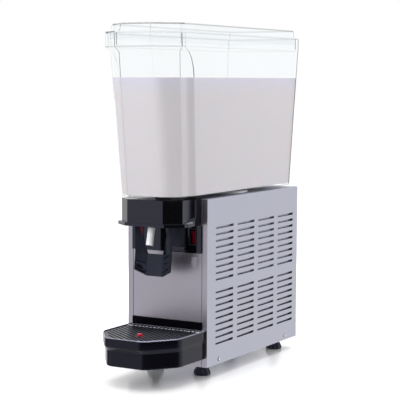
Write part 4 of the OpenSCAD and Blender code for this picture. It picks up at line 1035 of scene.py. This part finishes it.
def buildSky(look):
    world = bpy.data.worlds.new("studioSky")
    bpy.context.scene.world = world
    world.use_nodes = True
    board = Board(world.node_tree)
    heading = board.node("ShaderNodeTexCoord", {}, {}, out=0)

    def cone(middle, rim):
        towards = board.node("ShaderNodeVectorMath", {"operation": "DOT_PRODUCT"},
                             {0: heading, 1: middle}, out=1)
        return board.between(towards, 0.0, 1.0, *rim, "SMOOTHSTEP")

    dark = cone(look["darkFrom"], look["darkRim"])
    gap = cone(look["gapFrom"], look["gapRim"])
    height = board.part(heading, 2)
    low, high = look["darkBand"]
    band = board.between(height, 0.0, 1.0, *low, "SMOOTHSTEP")
    band = band * board.between(height, 1.0, 0.0, *high, "SMOOTHSTEP")
    soft = board.between(dark, *look["diffuse"])
    mirrored = board.between(dark * band | gap, *look["glossy"])
    glossy = board.ray("glossy")
    seen = board.ray("camera") | board.ray("through")
    strength = (soft * (1 - glossy) + mirrored * glossy) * (1 - seen) + seen
    sky = board.tree.nodes["Background"]
    sky.inputs["Color"].default_value = (1, 1, 1, 1)
    board.feed(sky.inputs["Strength"], strength)


lamps = {
    "topSoftbox": {"place": (0, -100, 2300), "size": (2400, 2400), "power": 100, "mirrored": True},
    "leftSoftbox": {"place": (-900, -2350, 1300), "size": (1400, 1400), "power": 52, "mirrored": False},
    "rearSoftbox": {"place": (2300, 900, 1200), "size": (1400, 1400), "power": 37, "mirrored": False},
}
lampTarget = (0, 0, 350)


def buildLamps(lampList, target):
    for name, lamp in lampList.items():
        letGo()
        place = Vector(lamp["place"]) * mm
        bpy.ops.object.light_add(type="AREA", location=place)
        made = bpy.context.object
        made.name = name
        made.data.shape = "RECTANGLE"
        made.data.size, made.data.size_y = (length * mm for length in lamp["size"])
        made.data.energy = lamp["power"]
        made.visible_glossy = lamp["mirrored"]
        made.rotation_euler = (Vector(target) * mm - place).to_track_quat("-Z", "Y").to_euler()


cameraView = {
    "place": (1382.14, -2286.39, 581.60), "azimuth": 29.791, "down": 5.014, "roll": 0.267,
    "focal": 1377.33, "imageWidth": 400, "sensor": 36, "reach": 100,
}


def buildCamera(c):
    letGo()
    bpy.ops.object.camera_add()
    camera = bpy.context.object
    camera.name = "photoCamera"
    turn, down, roll = (math.radians(c[k]) for k in ("azimuth", "down", "roll"))
    ahead = Vector((-math.sin(turn) * math.cos(down), math.cos(turn) * math.cos(down), -math.sin(down)))
    across = Vector((math.cos(turn), math.sin(turn), 0))
    right = across * math.cos(roll) + across.cross(ahead) * math.sin(roll)
    facing = Matrix((right, right.cross(ahead), -ahead)).transposed()
    camera.matrix_world = Matrix.Translation(at(*c["place"])) @ facing.to_4x4()
    camera.data.sensor_width = c["sensor"]
    camera.data.lens = c["focal"] * c["sensor"] / c["imageWidth"]
    camera.data.clip_end = c["reach"]
    bpy.context.scene.camera = camera


buildFloor(stageLook)
buildSky(stageLook)
buildLamps(lamps, lampTarget)
buildCamera(cameraView)
bpy.context.scene.view_settings.view_transform = "Standard"
print("stage, light and camera set")

letGo()
